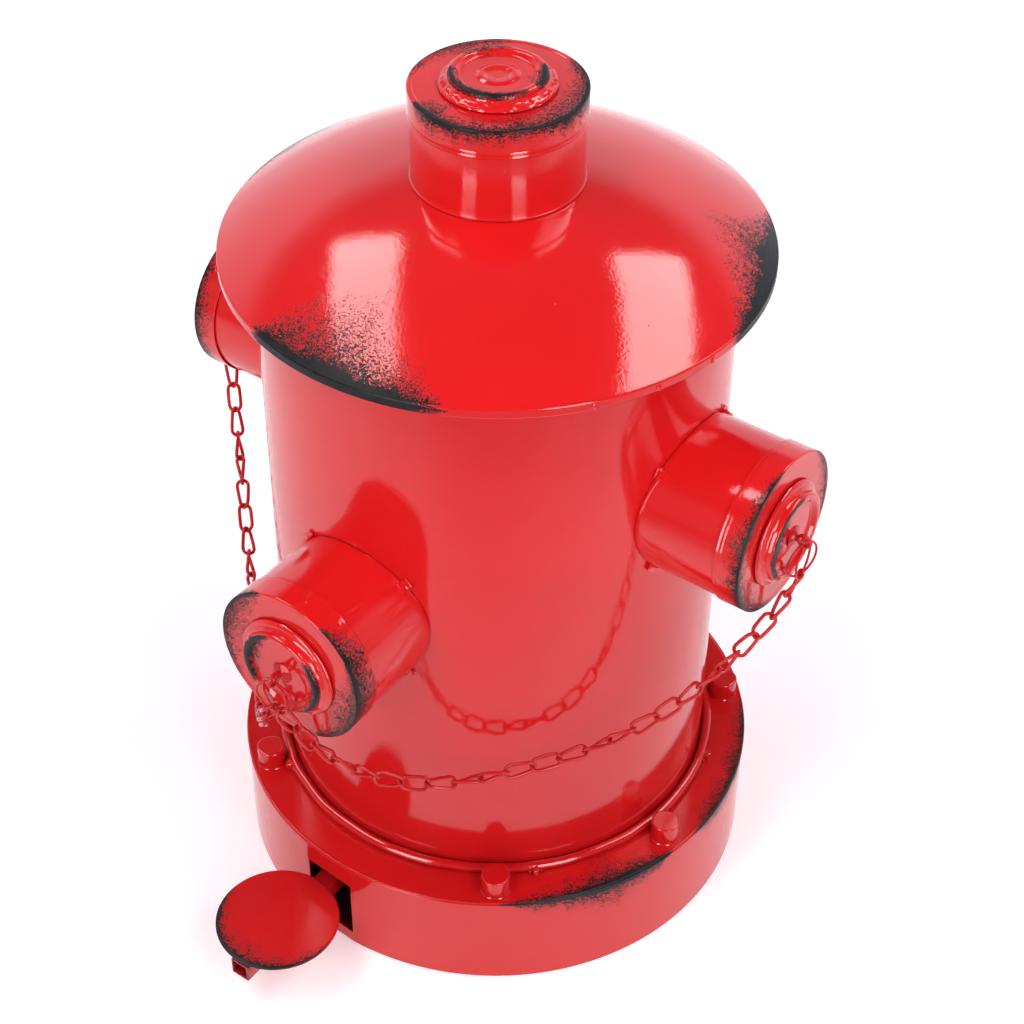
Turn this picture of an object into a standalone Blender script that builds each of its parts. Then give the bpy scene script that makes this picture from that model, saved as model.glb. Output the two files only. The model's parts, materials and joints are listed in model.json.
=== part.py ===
"""A pedal bin in the shape of a fire hydrant, as separate sheet-metal pieces.

+Z is up and the front, with the pedal, faces -Y. The origin is on the bin's axis, at the base's underside.
"""

import math

import bmesh
import bpy
from mathutils import Matrix, Vector

MM = 0.001
GAP = 0.3 * MM  # between pieces that touch
SHEET = 0.8 * MM  # thickness of the folded steel sheet

# Sides of the round pieces. 40 divides by 4, so that all three nozzles meet the body alike.
BODY_SIDES = 40
NOZZLE_SIDES = 24
BUCKET_SIDES = 32
SMALL_SIDES = 10

# Base
BASE_RADIUS = 173.0 * MM
BASE_HEIGHT = 74.8 * MM
FLANGE_INNER_RADIUS = 139.5 * MM
LIP_DEPTH = 9.0 * MM
SLOT_LEFT, SLOT_RIGHT = -29.0 * MM, 8.0 * MM
SLOT_BOTTOM, SLOT_TOP = 9.0 * MM, 56.0 * MM
BOLT_CIRCLE = 160.0 * MM
BOLT_RADIUS = 9.25 * MM
BOLT_HEIGHT = 14.0 * MM
BOLT_ANGLES = (36, 80, 132, 180, -132, -80, -36)

# Body
BODY_RADIUS = 142.5 * MM
FOOT_BEAD_RADIUS = 146.6 * MM
FOOT_BEAD_WIRE = 3.2 * MM
CLIP_ANGLES = (-32, 46, 108, 160, -108)

# Lid
LID_RADIUS = 162.5 * MM
RIM_BOTTOM, RIM_TOP = 460.4 * MM, 467.2 * MM
DOME_TOP_RADIUS = 45.0 * MM
DOME_TOP = 509.9 * MM
DOME_RISE = 8.3 * MM  # how far the dome bulges above a straight cone
NECK_RADIUS = 49.8 * MM
NECK_CAP_RADIUS = 50.9 * MM
NECK_CAP_BOTTOM, NECK_CAP_TOP = 549.3 * MM, 567.0 * MM

# Lid hinge, behind the body and under the lid's overhang
HINGE_Y, HINGE_Z = 152.0 * MM, 457.0 * MM
HINGE_PIN_RADIUS = 2.5 * MM
STRAP_HALF_WIDTH = 27.0 * MM
EAR_INSIDE, EAR_OUTSIDE = 28.5 * MM, 30.5 * MM

# Pedal and push rod
PEDAL_X = -20.0 * MM
PEDAL_DISC_CENTRE = (-22.0 * MM, -211.5 * MM)
PEDAL_DISC_RADIUS = 40.3 * MM
PEDAL_DISC_THICKNESS = 3.0 * MM
LEVER_SIZE = 14.0 * MM
LEVER_WALL = 1.5 * MM
LEVER_FRONT, LEVER_REAR = -252.0 * MM, 140.0 * MM
PIVOT_Y, PIVOT_Z = -40.0 * MM, 31.5 * MM
PIVOT_PIN_RADIUS = 3.0 * MM
ROD_Y = 132.0 * MM
ROD_RADIUS = 2.5 * MM
CRANK_BOTTOM, CRANK_TOP = 454.0 * MM, 460.0 * MM
CRANK_HALF_WIDTH = 5.0 * MM
GUIDE_HEIGHTS = {"lower": 150.0 * MM, "upper": 400.0 * MM}

# Nozzles: their distances are measured outwards from the bin's axis
NOZZLE_RADIUS = 49.6 * MM
CAP_RADIUS = 50.9 * MM
CAP_SEAM, CAP_FACE = 187.0 * MM, 204.0 * MM
NOZZLES = {"front": (0, 280.0 * MM), "right": (90, 345.0 * MM), "left": (-90, 345.0 * MM)}
TAB_ROOT = 139.8 * MM
BOSS_RADIUS = 28.4 * MM
BOSS_HEIGHT = 8.2 * MM
BOSS_RECESS = 2.7 * MM
BEAD_RADIUS = 31.4 * MM
BEAD_WIRE = 2.2 * MM
EYELET_RADIUS = 4.0 * MM
EYELET_WIRE = 0.8 * MM
EYELET_REACH = 218.0 * MM
SHANK_RADIUS = 1.8 * MM
RING_RADIUS = 12.0 * MM
RING_WIRE = 1.0 * MM
RING_DROP = 1.5 * MM  # of the ring's upper wire under the eyelet's centre

# Chains of twisted links, each held here as one round core with the links' own weight
LINK_LENGTH = 18.7 * MM  # along the wire's centre line
LINK_WIDTH = 7.2 * MM
LINK_WIRE = 1.03 * MM
LINK_PITCH = LINK_LENGTH - 2 * LINK_WIRE - GAP
CHAIN_SHIFT = 4.0 * MM  # sideways on the front ring, which holds both chains
CHAIN_SAG = 98.0 * MM
CHAIN_FRONT_POWER, CHAIN_FAR_POWER = 3.0, 2.5  # a power of 2 is a parabola, and more is squarer
CHAIN_STRETCHES = 30

# Bucket
BUCKET_BOTTOM_RADIUS = 112.0 * MM
BUCKET_TOP_RADIUS = 122.5 * MM
BUCKET_TOP = 378.0 * MM
BUCKET_WALL = 1.5 * MM
BAIL_RADIUS = 128.5 * MM
BAIL_WIRE = 1.8 * MM
BAIL_Z = 366.0 * MM


# ---- meshes ----------------------------------------------------------------------------------------------------------


def direction(angle):
    """The level unit vector at this many degrees from the front, turning towards +X."""
    turn = math.radians(angle)
    return Vector((math.sin(turn), -math.cos(turn), 0))


def circle(radius, height, wire, sides):
    """The (radius, height) outline of a round wire's section, for a ring."""
    turns = [2 * math.pi * (i + 0.5) / sides for i in range(sides)]
    return [(radius + wire * math.cos(turn), height + wire * math.sin(turn)) for turn in turns]


def lathe(profile, sides):
    """Turns a (radius, height) outline about Z. It makes a ring, unless the outline starts and ends on the axis."""
    mesh = bmesh.new()
    turns = [2 * math.pi * i / sides for i in range(sides)]
    rings = []
    for radius, height in profile:
        if radius == 0:
            rings.append([mesh.verts.new((0, 0, height))])
        else:
            rings.append([mesh.verts.new((radius * math.cos(t), radius * math.sin(t), height)) for t in turns])
    pairs = list(zip(rings, rings[1:]))
    if profile[0][0] > 0:
        pairs.append((rings[-1], rings[0]))
    for low, high in pairs:
        for i in range(sides):
            j = (i + 1) % sides
            corners = [low[i % len(low)], low[j % len(low)], high[j % len(high)], high[i % len(high)]]
            mesh.faces.new(list(dict.fromkeys(corners)))
    bmesh.ops.recalc_face_normals(mesh, faces=mesh.faces)
    return mesh


def box(low, high):
    """A box from its low corner to its high corner."""
    mesh = bmesh.new()
    size = Vector(high) - Vector(low)
    centre = (Vector(high) + Vector(low)) / 2
    bmesh.ops.create_cube(mesh, size=1, matrix=Matrix.Translation(centre) @ Matrix.Diagonal((*size, 1)))
    return mesh


def wire(points, normals, radius, sides, closed):
    """Sweeps a round section along points. Each normal is a direction that the wire never runs along."""
    mesh = bmesh.new()
    count = len(points)
    rings = []
    for i, point in enumerate(points):
        before = points[(i - 1) % count] if closed or i > 0 else point
        after = points[(i + 1) % count] if closed or i < count - 1 else point
        along = (after - before).normalized()
        across = (normals[i] - along * normals[i].dot(along)).normalized()
        third = along.cross(across)
        turns = [2 * math.pi * (k + 0.5) / sides for k in range(sides)]
        rings.append(
            [mesh.verts.new(point + radius * (across * math.cos(t) + third * math.sin(t))) for t in turns]
        )
    pairs = list(zip(rings, rings[1:]))
    if closed:
        pairs.append((rings[-1], rings[0]))
    else:
        mesh.faces.new(rings[0])
        mesh.faces.new(rings[-1])
    for low, high in pairs:
        for k in range(sides):
            m = (k + 1) % sides
            mesh.faces.new((low[k], low[m], high[m], high[k]))
    bmesh.ops.recalc_face_normals(mesh, faces=mesh.faces)
    return mesh


def extrude(outline, low_x, high_x):
    """A prism along X from an outline of (y, z) points."""
    mesh = bmesh.new()
    face = mesh.faces.new([mesh.verts.new((low_x, y, z)) for y, z in outline])
    made = bmesh.ops.extrude_face_region(mesh, geom=[face])
    corners = [item for item in made["geom"] if isinstance(item, bmesh.types.BMVert)]
    bmesh.ops.translate(mesh, verts=corners, vec=(high_x - low_x, 0, 0))
    bmesh.ops.recalc_face_normals(mesh, faces=mesh.faces)
    return mesh


def moved(mesh, matrix):
    """The same mesh, moved by a matrix."""
    bmesh.ops.transform(mesh, matrix=matrix, verts=mesh.verts)
    return mesh


# ---- objects ---------------------------------------------------------------------------------------------------------


def make_material(name, colour, roughness, metallic):
    material = bpy.data.materials.new(name)
    material.use_nodes = True
    surface = material.node_tree.nodes["Principled BSDF"]
    surface.inputs["Base Color"].default_value = (*colour, 1)
    surface.inputs["Roughness"].default_value = roughness
    surface.inputs["Metallic"].default_value = metallic
    return material


def add(name, mesh, finish, parent=None):
    """Turns a mesh into the object of this name, held by a joint's empty if one is given."""
    data = bpy.data.meshes.new(name)
    mesh.to_mesh(data)
    mesh.free()
    data.shade_smooth()
    data.set_sharp_from_angle(angle=math.radians(35))
    thing = bpy.data.objects.new(name, data)
    bpy.context.scene.collection.objects.link(thing)
    data.materials.append(make_material(name, *finish))
    if parent:
        thing.parent = parent
        thing.matrix_parent_inverse = Matrix.Translation(parent.location).inverted()
    return thing


def add_joint(name, position):
    """An empty on a joint's axis, which holds the pieces that move on it."""
    empty = bpy.data.objects.new(name, None)
    empty.location = position
    bpy.context.scene.collection.objects.link(empty)
    return empty


def cut(thing, mesh, operation="DIFFERENCE"):
    """Cuts a closed mesh out of an object, or joins it on."""
    data = bpy.data.meshes.new(thing.name + "_cutter")
    mesh.to_mesh(data)
    mesh.free()
    cutter = bpy.data.objects.new(data.name, data)
    bpy.context.scene.collection.objects.link(cutter)
    cutter.hide_render = True
    cutter.display_type = "WIRE"
    modifier = thing.modifiers.new(data.name, "BOOLEAN")
    modifier.operation = operation
    modifier.solver = "EXACT"
    modifier.object = cutter


def drill(thing, centre, radius, length, axis):
    """Drills a round hole of this length about its centre, along X or Z."""
    rod = lathe([(0, -length / 2), (radius, -length / 2), (radius, length / 2), (0, length / 2)], SMALL_SIDES)
    turn = Matrix.Rotation(math.pi / 2, 4, "Y") if axis == "X" else Matrix.Identity(4)
    cut(thing, moved(rod, Matrix.Translation(centre) @ turn))


RED_PAINT = ((0.69, 0.018, 0.021), 0.22, 0.0)
PAINTED_WIRE = ((0.62, 0.016, 0.019), 0.28, 0.0)
ZINC_STEEL = ((0.42, 0.43, 0.44), 0.38, 1.0)
BLACK_PLASTIC = ((0.02, 0.02, 0.022), 0.5, 0.0)


# ---- base ------------------------------------------------------------------------------------------------------------


def build_base():
    pan_radius = BASE_RADIUS - SHEET - 2 * GAP
    pan = [(0, 0), (pan_radius, 0), (pan_radius, SHEET), (0, SHEET)]
    add("base_pan", lathe(pan, BODY_SIDES), ZINC_STEEL)

    skirt_top = BASE_HEIGHT - SHEET - GAP
    inside = BASE_RADIUS - SHEET
    skirt = [(inside, 0), (BASE_RADIUS, 0), (BASE_RADIUS, skirt_top), (inside, skirt_top)]
    skirt = add("base_skirt", lathe(skirt, BODY_SIDES), RED_PAINT)
    cut(
        skirt,
        box((SLOT_LEFT, -BASE_RADIUS - 5 * MM, SLOT_BOTTOM), (SLOT_RIGHT, -BASE_RADIUS + 15 * MM, SLOT_TOP)),
    )

    lip_outside = inside - 2 * GAP
    lip_inside = lip_outside - SHEET
    flange_bottom = BASE_HEIGHT - SHEET
    flange = [
        (FLANGE_INNER_RADIUS, BASE_HEIGHT),
        (FLANGE_INNER_RADIUS, flange_bottom),
        (lip_inside, flange_bottom),
        (lip_inside, flange_bottom - LIP_DEPTH),
        (lip_outside, flange_bottom - LIP_DEPTH),
        (lip_outside, flange_bottom),
        (BASE_RADIUS, flange_bottom),
        (BASE_RADIUS, BASE_HEIGHT),
    ]
    add("base_top_flange", lathe(flange, BODY_SIDES), RED_PAINT)

    head = [
        (0, 0),
        (BOLT_RADIUS, 0),
        (BOLT_RADIUS, BOLT_HEIGHT - 2 * MM),
        (BOLT_RADIUS - 2 * MM, BOLT_HEIGHT),
        (0, BOLT_HEIGHT),
    ]
    for number, angle in enumerate(BOLT_ANGLES, 1):
        place = direction(angle) * BOLT_CIRCLE + Vector((0, 0, BASE_HEIGHT + GAP))
        add(f"base_bolt_{number}", moved(lathe(head, SMALL_SIDES), Matrix.Translation(place)), RED_PAINT)


# ---- body ------------------------------------------------------------------------------------------------------------


def dome_arc(offset=0.0, steps=5):
    """The dome's outline from rim to neck, as (radius, height) points on an arc, moved in by an offset."""
    low = Vector((LID_RADIUS - 0.9 * MM, RIM_TOP))
    high = Vector((DOME_TOP_RADIUS, DOME_TOP))
    chord = high - low
    half = chord.length / 2
    arc_radius = (half**2 + DOME_RISE**2) / (2 * DOME_RISE)
    outward = Vector((-chord.y, chord.x)).normalized()
    if outward.y < 0:
        outward = -outward
    centre = (low + high) / 2 - outward * (arc_radius - DOME_RISE)
    start = math.atan2(low.y - centre.y, low.x - centre.x)
    end = math.atan2(high.y - centre.y, high.x - centre.x)
    turns = [start + (end - start) * i / steps for i in range(steps + 1)]
    reach = arc_radius - offset
    return [(centre.x + reach * math.cos(t), centre.y + reach * math.sin(t)) for t in turns]


def dome_underside(radius):
    """The height of the dome's underside at a radius."""
    points = dome_arc(SHEET, 40)
    outer, inner = min(zip(points, points[1:]), key=lambda pair: abs((pair[0][0] + pair[1][0]) / 2 - radius))
    return min(outer[1], inner[1])


def build_body():
    inside = BODY_RADIUS - SHEET
    bottom = BASE_HEIGHT + GAP
    top = dome_underside(BODY_RADIUS) - 1.2 * MM
    shell = [(inside, bottom), (BODY_RADIUS, bottom), (BODY_RADIUS, top), (inside, top)]
    shell = add("body_shell", lathe(shell, BODY_SIDES), RED_PAINT)
    notch_low = (PEDAL_X - CRANK_HALF_WIDTH - 4 * MM, BODY_RADIUS - 12 * MM, CRANK_BOTTOM - 8 * MM)
    notch_high = (PEDAL_X + CRANK_HALF_WIDTH + 4 * MM, BODY_RADIUS + 5 * MM, top + 5 * MM)
    cut(shell, box(notch_low, notch_high))

    floor_radius = inside - 2 * GAP
    floor = [(0, bottom), (floor_radius, bottom), (floor_radius, bottom + SHEET), (0, bottom + SHEET)]
    floor = add("body_floor", lathe(floor, BODY_SIDES), ZINC_STEEL)
    drill(floor, (PEDAL_X, ROD_Y, bottom), ROD_RADIUS + 1 * MM, 10 * MM, "Z")

    bead_height = BASE_HEIGHT + GAP + FOOT_BEAD_WIRE
    bead = circle(FOOT_BEAD_RADIUS, bead_height, FOOT_BEAD_WIRE, 5)
    bead = add("body_foot_bead", lathe(bead, BODY_SIDES), RED_PAINT)
    for angle in CLIP_ANGLES:
        low = (-4 * MM, FOOT_BEAD_RADIUS + 1 * MM, BASE_HEIGHT + GAP)
        high = (4 * MM, FOOT_BEAD_RADIUS + FOOT_BEAD_WIRE + 2 * MM, BASE_HEIGHT + 2 * FOOT_BEAD_WIRE + 1 * MM)
        cut(bead, moved(box(low, high), Matrix.Rotation(math.radians(180 + angle), 4, "Z")), "UNION")

    for name, height in GUIDE_HEIGHTS.items():
        low = (PEDAL_X - 10 * MM, ROD_Y - 5.5 * MM, height)
        high = (PEDAL_X + 10 * MM, ROD_Y + 4.7 * MM, height + 3 * MM)
        guide = add(name + "_rod_guide", box(low, high), ZINC_STEEL)
        drill(guide, (PEDAL_X, ROD_Y, height), ROD_RADIUS + 0.6 * MM, 20 * MM, "Z")


# ---- nozzles ---------------------------------------------------------------------------------------------------------


def barrel_mesh():
    """The short tube of a nozzle along +Z, its inner end cut to the body's round wall."""
    mesh = bmesh.new()
    wall_radius = BODY_RADIUS + 2 * GAP
    far = CAP_FACE - SHEET - 2 * GAP
    rings = []
    for radius in (NOZZLE_RADIUS, NOZZLE_RADIUS - SHEET):
        near_ring, far_ring = [], []
        for i in range(NOZZLE_SIDES):
            turn = 2 * math.pi * i / NOZZLE_SIDES
            x, y = radius * math.cos(turn), radius * math.sin(turn)
            near_ring.append(mesh.verts.new((x, y, math.sqrt(wall_radius**2 - x**2))))
            far_ring.append(mesh.verts.new((x, y, far)))
        rings += [near_ring, far_ring]
    outer_near, outer_far, inner_near, inner_far = rings
    for low, high in (
        (outer_near, outer_far),
        (outer_far, inner_far),
        (inner_far, inner_near),
        (inner_near, outer_near),
    ):
        for i in range(NOZZLE_SIDES):
            j = (i + 1) % NOZZLE_SIDES
            mesh.faces.new((low[i], low[j], high[j], high[i]))
    bmesh.ops.recalc_face_normals(mesh, faces=mesh.faces)
    return mesh


def cap_mesh(radius, seam, face, sides):
    """A cup, open downwards, from its seam up to its flat face."""
    wall = 0.7 * MM
    inner = radius - wall
    profile = [
        (0, face - SHEET),
        (inner, face - SHEET),
        (inner, seam),
        (radius, seam),
        (radius, face - 1 * MM),
        (radius - 1 * MM, face),
        (0, face),
    ]
    return lathe(profile, sides)


def boss_mesh(face):
    """The pressed disc in the middle of a cap, with a raised rim round a shallow recess."""
    foot = face + GAP
    top = foot + BOSS_HEIGHT
    recess = top - BOSS_RECESS
    profile = [
        (0, foot),
        (BOSS_RADIUS, foot),
        (BOSS_RADIUS - 1 * MM, top),
        (BOSS_RADIUS - 4.5 * MM, top),
        (BOSS_RADIUS - 7 * MM, recess),
        (0, recess),
    ]
    return lathe(profile, NOZZLE_SIDES)


def bead_mesh(face):
    """The weld bead round a boss's foot."""
    return lathe(circle(BEAD_RADIUS, face + GAP + BEAD_WIRE, BEAD_WIRE, 4), NOZZLE_SIDES)


def loop_mesh(centre, radius, wire_radius, normal, sides):
    """A closed ring of wire about a centre, in the plane across a normal."""
    across = normal.orthogonal().normalized()
    other = normal.cross(across)
    points = []
    for i in range(sides):
        turn = 2 * math.pi * i / sides
        points.append(centre + radius * (across * math.cos(turn) + other * math.sin(turn)))
    return wire(points, [normal] * sides, wire_radius, 4, True)


def eyelet_centre(side):
    angle, height = NOZZLES[side]
    return direction(angle) * EYELET_REACH + Vector((0, 0, height))


def ring_centre(side):
    return eyelet_centre(side) - Vector((0, 0, RING_DROP + RING_RADIUS))


def add_tabs(barrel, place):
    """Joins on the four short straps at a barrel's root, at 45 degrees round it."""
    low = (NOZZLE_RADIUS - 0.8 * MM, -4 * MM, TAB_ROOT)
    high = (NOZZLE_RADIUS + 1.2 * MM, 4 * MM, TAB_ROOT + 7 * MM)
    for turn in (45, 135, 225, 315):
        cut(barrel, moved(box(low, high), place @ Matrix.Rotation(math.radians(turn), 4, "Z")), "UNION")


def build_nozzle(side, chain_joint=None):
    """One nozzle. Its ring moves with the chain, where it is given that chain's joint."""
    angle, height = NOZZLES[side]
    outward = direction(angle)
    across = Vector((0, 0, 1)).cross(outward)
    place = Matrix.Translation((0, 0, height)) @ Matrix((across, Vector((0, 0, 1)), outward)).transposed().to_4x4()
    if place.determinant() < 0:
        place = place @ Matrix.Diagonal((-1, 1, 1, 1))
    cap = cap_mesh(CAP_RADIUS, CAP_SEAM, CAP_FACE, NOZZLE_SIDES)
    barrel = add(side + "_nozzle_barrel", moved(barrel_mesh(), place), RED_PAINT)
    add_tabs(barrel, place)
    add(side + "_nozzle_cap", moved(cap, place), RED_PAINT)
    add(side + "_nozzle_boss", moved(boss_mesh(CAP_FACE), place), RED_PAINT)
    add(side + "_nozzle_weld_bead", moved(bead_mesh(CAP_FACE), place), RED_PAINT)
    eyelet = loop_mesh(eyelet_centre(side), EYELET_RADIUS, EYELET_WIRE, across, 12)
    eyelet = add(side + "_nozzle_eyelet", eyelet, PAINTED_WIRE)
    shank_foot = CAP_FACE + 2 * GAP + BOSS_HEIGHT - BOSS_RECESS
    shank_top = EYELET_REACH - EYELET_RADIUS + 0.2 * MM
    shank = [(0, shank_foot), (SHANK_RADIUS, shank_foot), (SHANK_RADIUS, shank_top), (0, shank_top)]
    cut(eyelet, moved(lathe(shank, SMALL_SIDES), place), "UNION")
    ring = loop_mesh(ring_centre(side), RING_RADIUS, RING_WIRE, outward, 16)
    add(side + "_nozzle_ring", ring, PAINTED_WIRE, chain_joint)


# ---- chains ----------------------------------------------------------------------------------------------------------


def hanging_curve(start, end, stretches):
    """Points that part the chain's route into equal stretches. Stiff links hang squarer than a rope."""
    steps = 600
    path = []
    for i in range(steps + 1):
        share = i / steps
        power = CHAIN_FRONT_POWER if share < 0.5 else CHAIN_FAR_POWER
        drop = CHAIN_SAG * (1 - abs(2 * share - 1) ** power)
        path.append(start.lerp(end, share) - Vector((0, 0, drop)))
    lengths = [0.0]
    for before, after in zip(path, path[1:]):
        lengths.append(lengths[-1] + (after - before).length)
    points = []
    for i in range(stretches + 1):
        wanted = lengths[-1] * i / stretches
        points.append(path[min(range(steps + 1), key=lambda k: abs(lengths[k] - wanted))].copy())
    return points


def chain_ends(side):
    """Where the chain hooks over the front ring and over the side nozzle's ring."""
    hand = 1 if side == "right" else -1
    drop = math.sqrt(RING_RADIUS**2 - CHAIN_SHIFT**2)
    front = ring_centre("front") + Vector((hand * CHAIN_SHIFT, 0, -drop))
    return front, ring_centre(side) - Vector((0, 0, RING_RADIUS))


def build_chain(side, joint):
    """The chain's core. Its section gives it the same volume as the links' wire."""
    front, far = chain_ends(side)
    points = hanging_curve(front, far, CHAIN_STRETCHES)
    points[0] += (points[1] - points[0]).normalized() * 2.2 * MM
    points[-1] += (points[-2] - points[-1]).normalized() * 2.2 * MM
    sideways = (far - front).cross(Vector((0, 0, 1))).normalized()
    link_wire_length = 2 * (LINK_LENGTH - LINK_WIDTH) + math.pi * LINK_WIDTH
    core = LINK_WIRE * math.sqrt(link_wire_length / LINK_PITCH)
    add(side + "_chain", wire(points, [sideways] * len(points), core, 6, False), PAINTED_WIRE, joint)


# ---- pedal -----------------------------------------------------------------------------------------------------------


def build_pedal(pedal_joint, rod_joint):
    half = LEVER_SIZE / 2
    low_z, high_z = PIVOT_Z - half, PIVOT_Z + half
    lever = box((PEDAL_X - half, LEVER_FRONT, low_z), (PEDAL_X + half, LEVER_REAR, high_z))
    lever = add("pedal_lever", lever, RED_PAINT, pedal_joint)
    bore_low = (PEDAL_X - half + LEVER_WALL, LEVER_FRONT - 5 * MM, low_z + LEVER_WALL)
    bore_high = (PEDAL_X + half - LEVER_WALL, LEVER_REAR + 5 * MM, high_z - LEVER_WALL)
    cut(lever, box(bore_low, bore_high))
    drill(lever, (PEDAL_X, PIVOT_Y, PIVOT_Z), PIVOT_PIN_RADIUS + GAP, 40 * MM, "X")

    edge = 0.8 * MM
    disc = [
        (0, 0),
        (PEDAL_DISC_RADIUS - edge, 0),
        (PEDAL_DISC_RADIUS, edge),
        (PEDAL_DISC_RADIUS, PEDAL_DISC_THICKNESS - edge),
        (PEDAL_DISC_RADIUS - edge, PEDAL_DISC_THICKNESS),
        (0, PEDAL_DISC_THICKNESS),
    ]
    place = Matrix.Translation((*PEDAL_DISC_CENTRE, high_z + GAP))
    add("pedal_disc", moved(lathe(disc, BUCKET_SIDES), place), RED_PAINT, pedal_joint)

    ear_near, ear_far = half + 1 * MM, half + 3 * MM
    foot = SHEET + GAP
    outline = [
        (PIVOT_Y - 14 * MM, foot),
        (PIVOT_Y + 14 * MM, foot),
        (PIVOT_Y + 6 * MM, PIVOT_Z + 7 * MM),
        (PIVOT_Y - 6 * MM, PIVOT_Z + 7 * MM),
    ]
    bracket = extrude(outline, PEDAL_X - ear_far, PEDAL_X + ear_far)
    bracket = add("pedal_bracket", bracket, ZINC_STEEL)
    space_low = (PEDAL_X - ear_near, PIVOT_Y - 20 * MM, foot + 2 * MM)
    space_high = (PEDAL_X + ear_near, PIVOT_Y + 20 * MM, PIVOT_Z + 20 * MM)
    cut(bracket, box(space_low, space_high))
    drill(bracket, (PEDAL_X, PIVOT_Y, PIVOT_Z), PIVOT_PIN_RADIUS + GAP, 40 * MM, "X")

    reach = ear_far + 2 * MM
    pin = [(0, -reach), (PIVOT_PIN_RADIUS, -reach), (PIVOT_PIN_RADIUS, reach), (0, reach)]
    turn = Matrix.Translation((PEDAL_X, PIVOT_Y, PIVOT_Z)) @ Matrix.Rotation(math.pi / 2, 4, "Y")
    add("pedal_pin", moved(lathe(pin, SMALL_SIDES), turn), ZINC_STEEL)

    rod_bottom, rod_top = high_z + GAP, CRANK_BOTTOM - GAP
    rod = [(0, rod_bottom), (ROD_RADIUS, rod_bottom), (ROD_RADIUS, rod_top), (0, rod_top)]
    place = Matrix.Translation((PEDAL_X, ROD_Y, 0))
    add("push_rod", moved(lathe(rod, SMALL_SIDES), place), ZINC_STEEL, rod_joint)


# ---- lid -------------------------------------------------------------------------------------------------------------


def build_lid(joint):
    dome = dome_arc() + list(reversed(dome_arc(SHEET)))
    add("lid_dome", lathe(dome, BODY_SIDES), RED_PAINT, joint)

    rim_inside = LID_RADIUS - 1.6 * MM
    rim = [
        (rim_inside, RIM_BOTTOM),
        (LID_RADIUS - 0.4 * MM, RIM_BOTTOM),
        (LID_RADIUS, RIM_BOTTOM + 1 * MM),
        (LID_RADIUS, RIM_TOP - 2.6 * MM),
        (LID_RADIUS - 0.4 * MM, RIM_TOP - 1.7 * MM),
        (rim_inside, RIM_TOP - 1.7 * MM),
    ]
    add("lid_rim_band", lathe(rim, BODY_SIDES), RED_PAINT, joint)

    neck_bottom = DOME_TOP + GAP
    neck_top = NECK_CAP_TOP - SHEET - 2 * GAP
    neck_inside = NECK_RADIUS - SHEET
    neck = [(neck_inside, neck_bottom), (NECK_RADIUS, neck_bottom), (NECK_RADIUS, neck_top), (neck_inside, neck_top)]
    add("lid_neck", lathe(neck, BUCKET_SIDES), RED_PAINT, joint)
    cap = cap_mesh(NECK_CAP_RADIUS, NECK_CAP_BOTTOM, NECK_CAP_TOP, BUCKET_SIDES)
    add("lid_neck_cap", cap, RED_PAINT, joint)
    add("lid_boss", boss_mesh(NECK_CAP_TOP), RED_PAINT, joint)
    add("lid_weld_bead", bead_mesh(NECK_CAP_TOP), RED_PAINT, joint)


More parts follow.
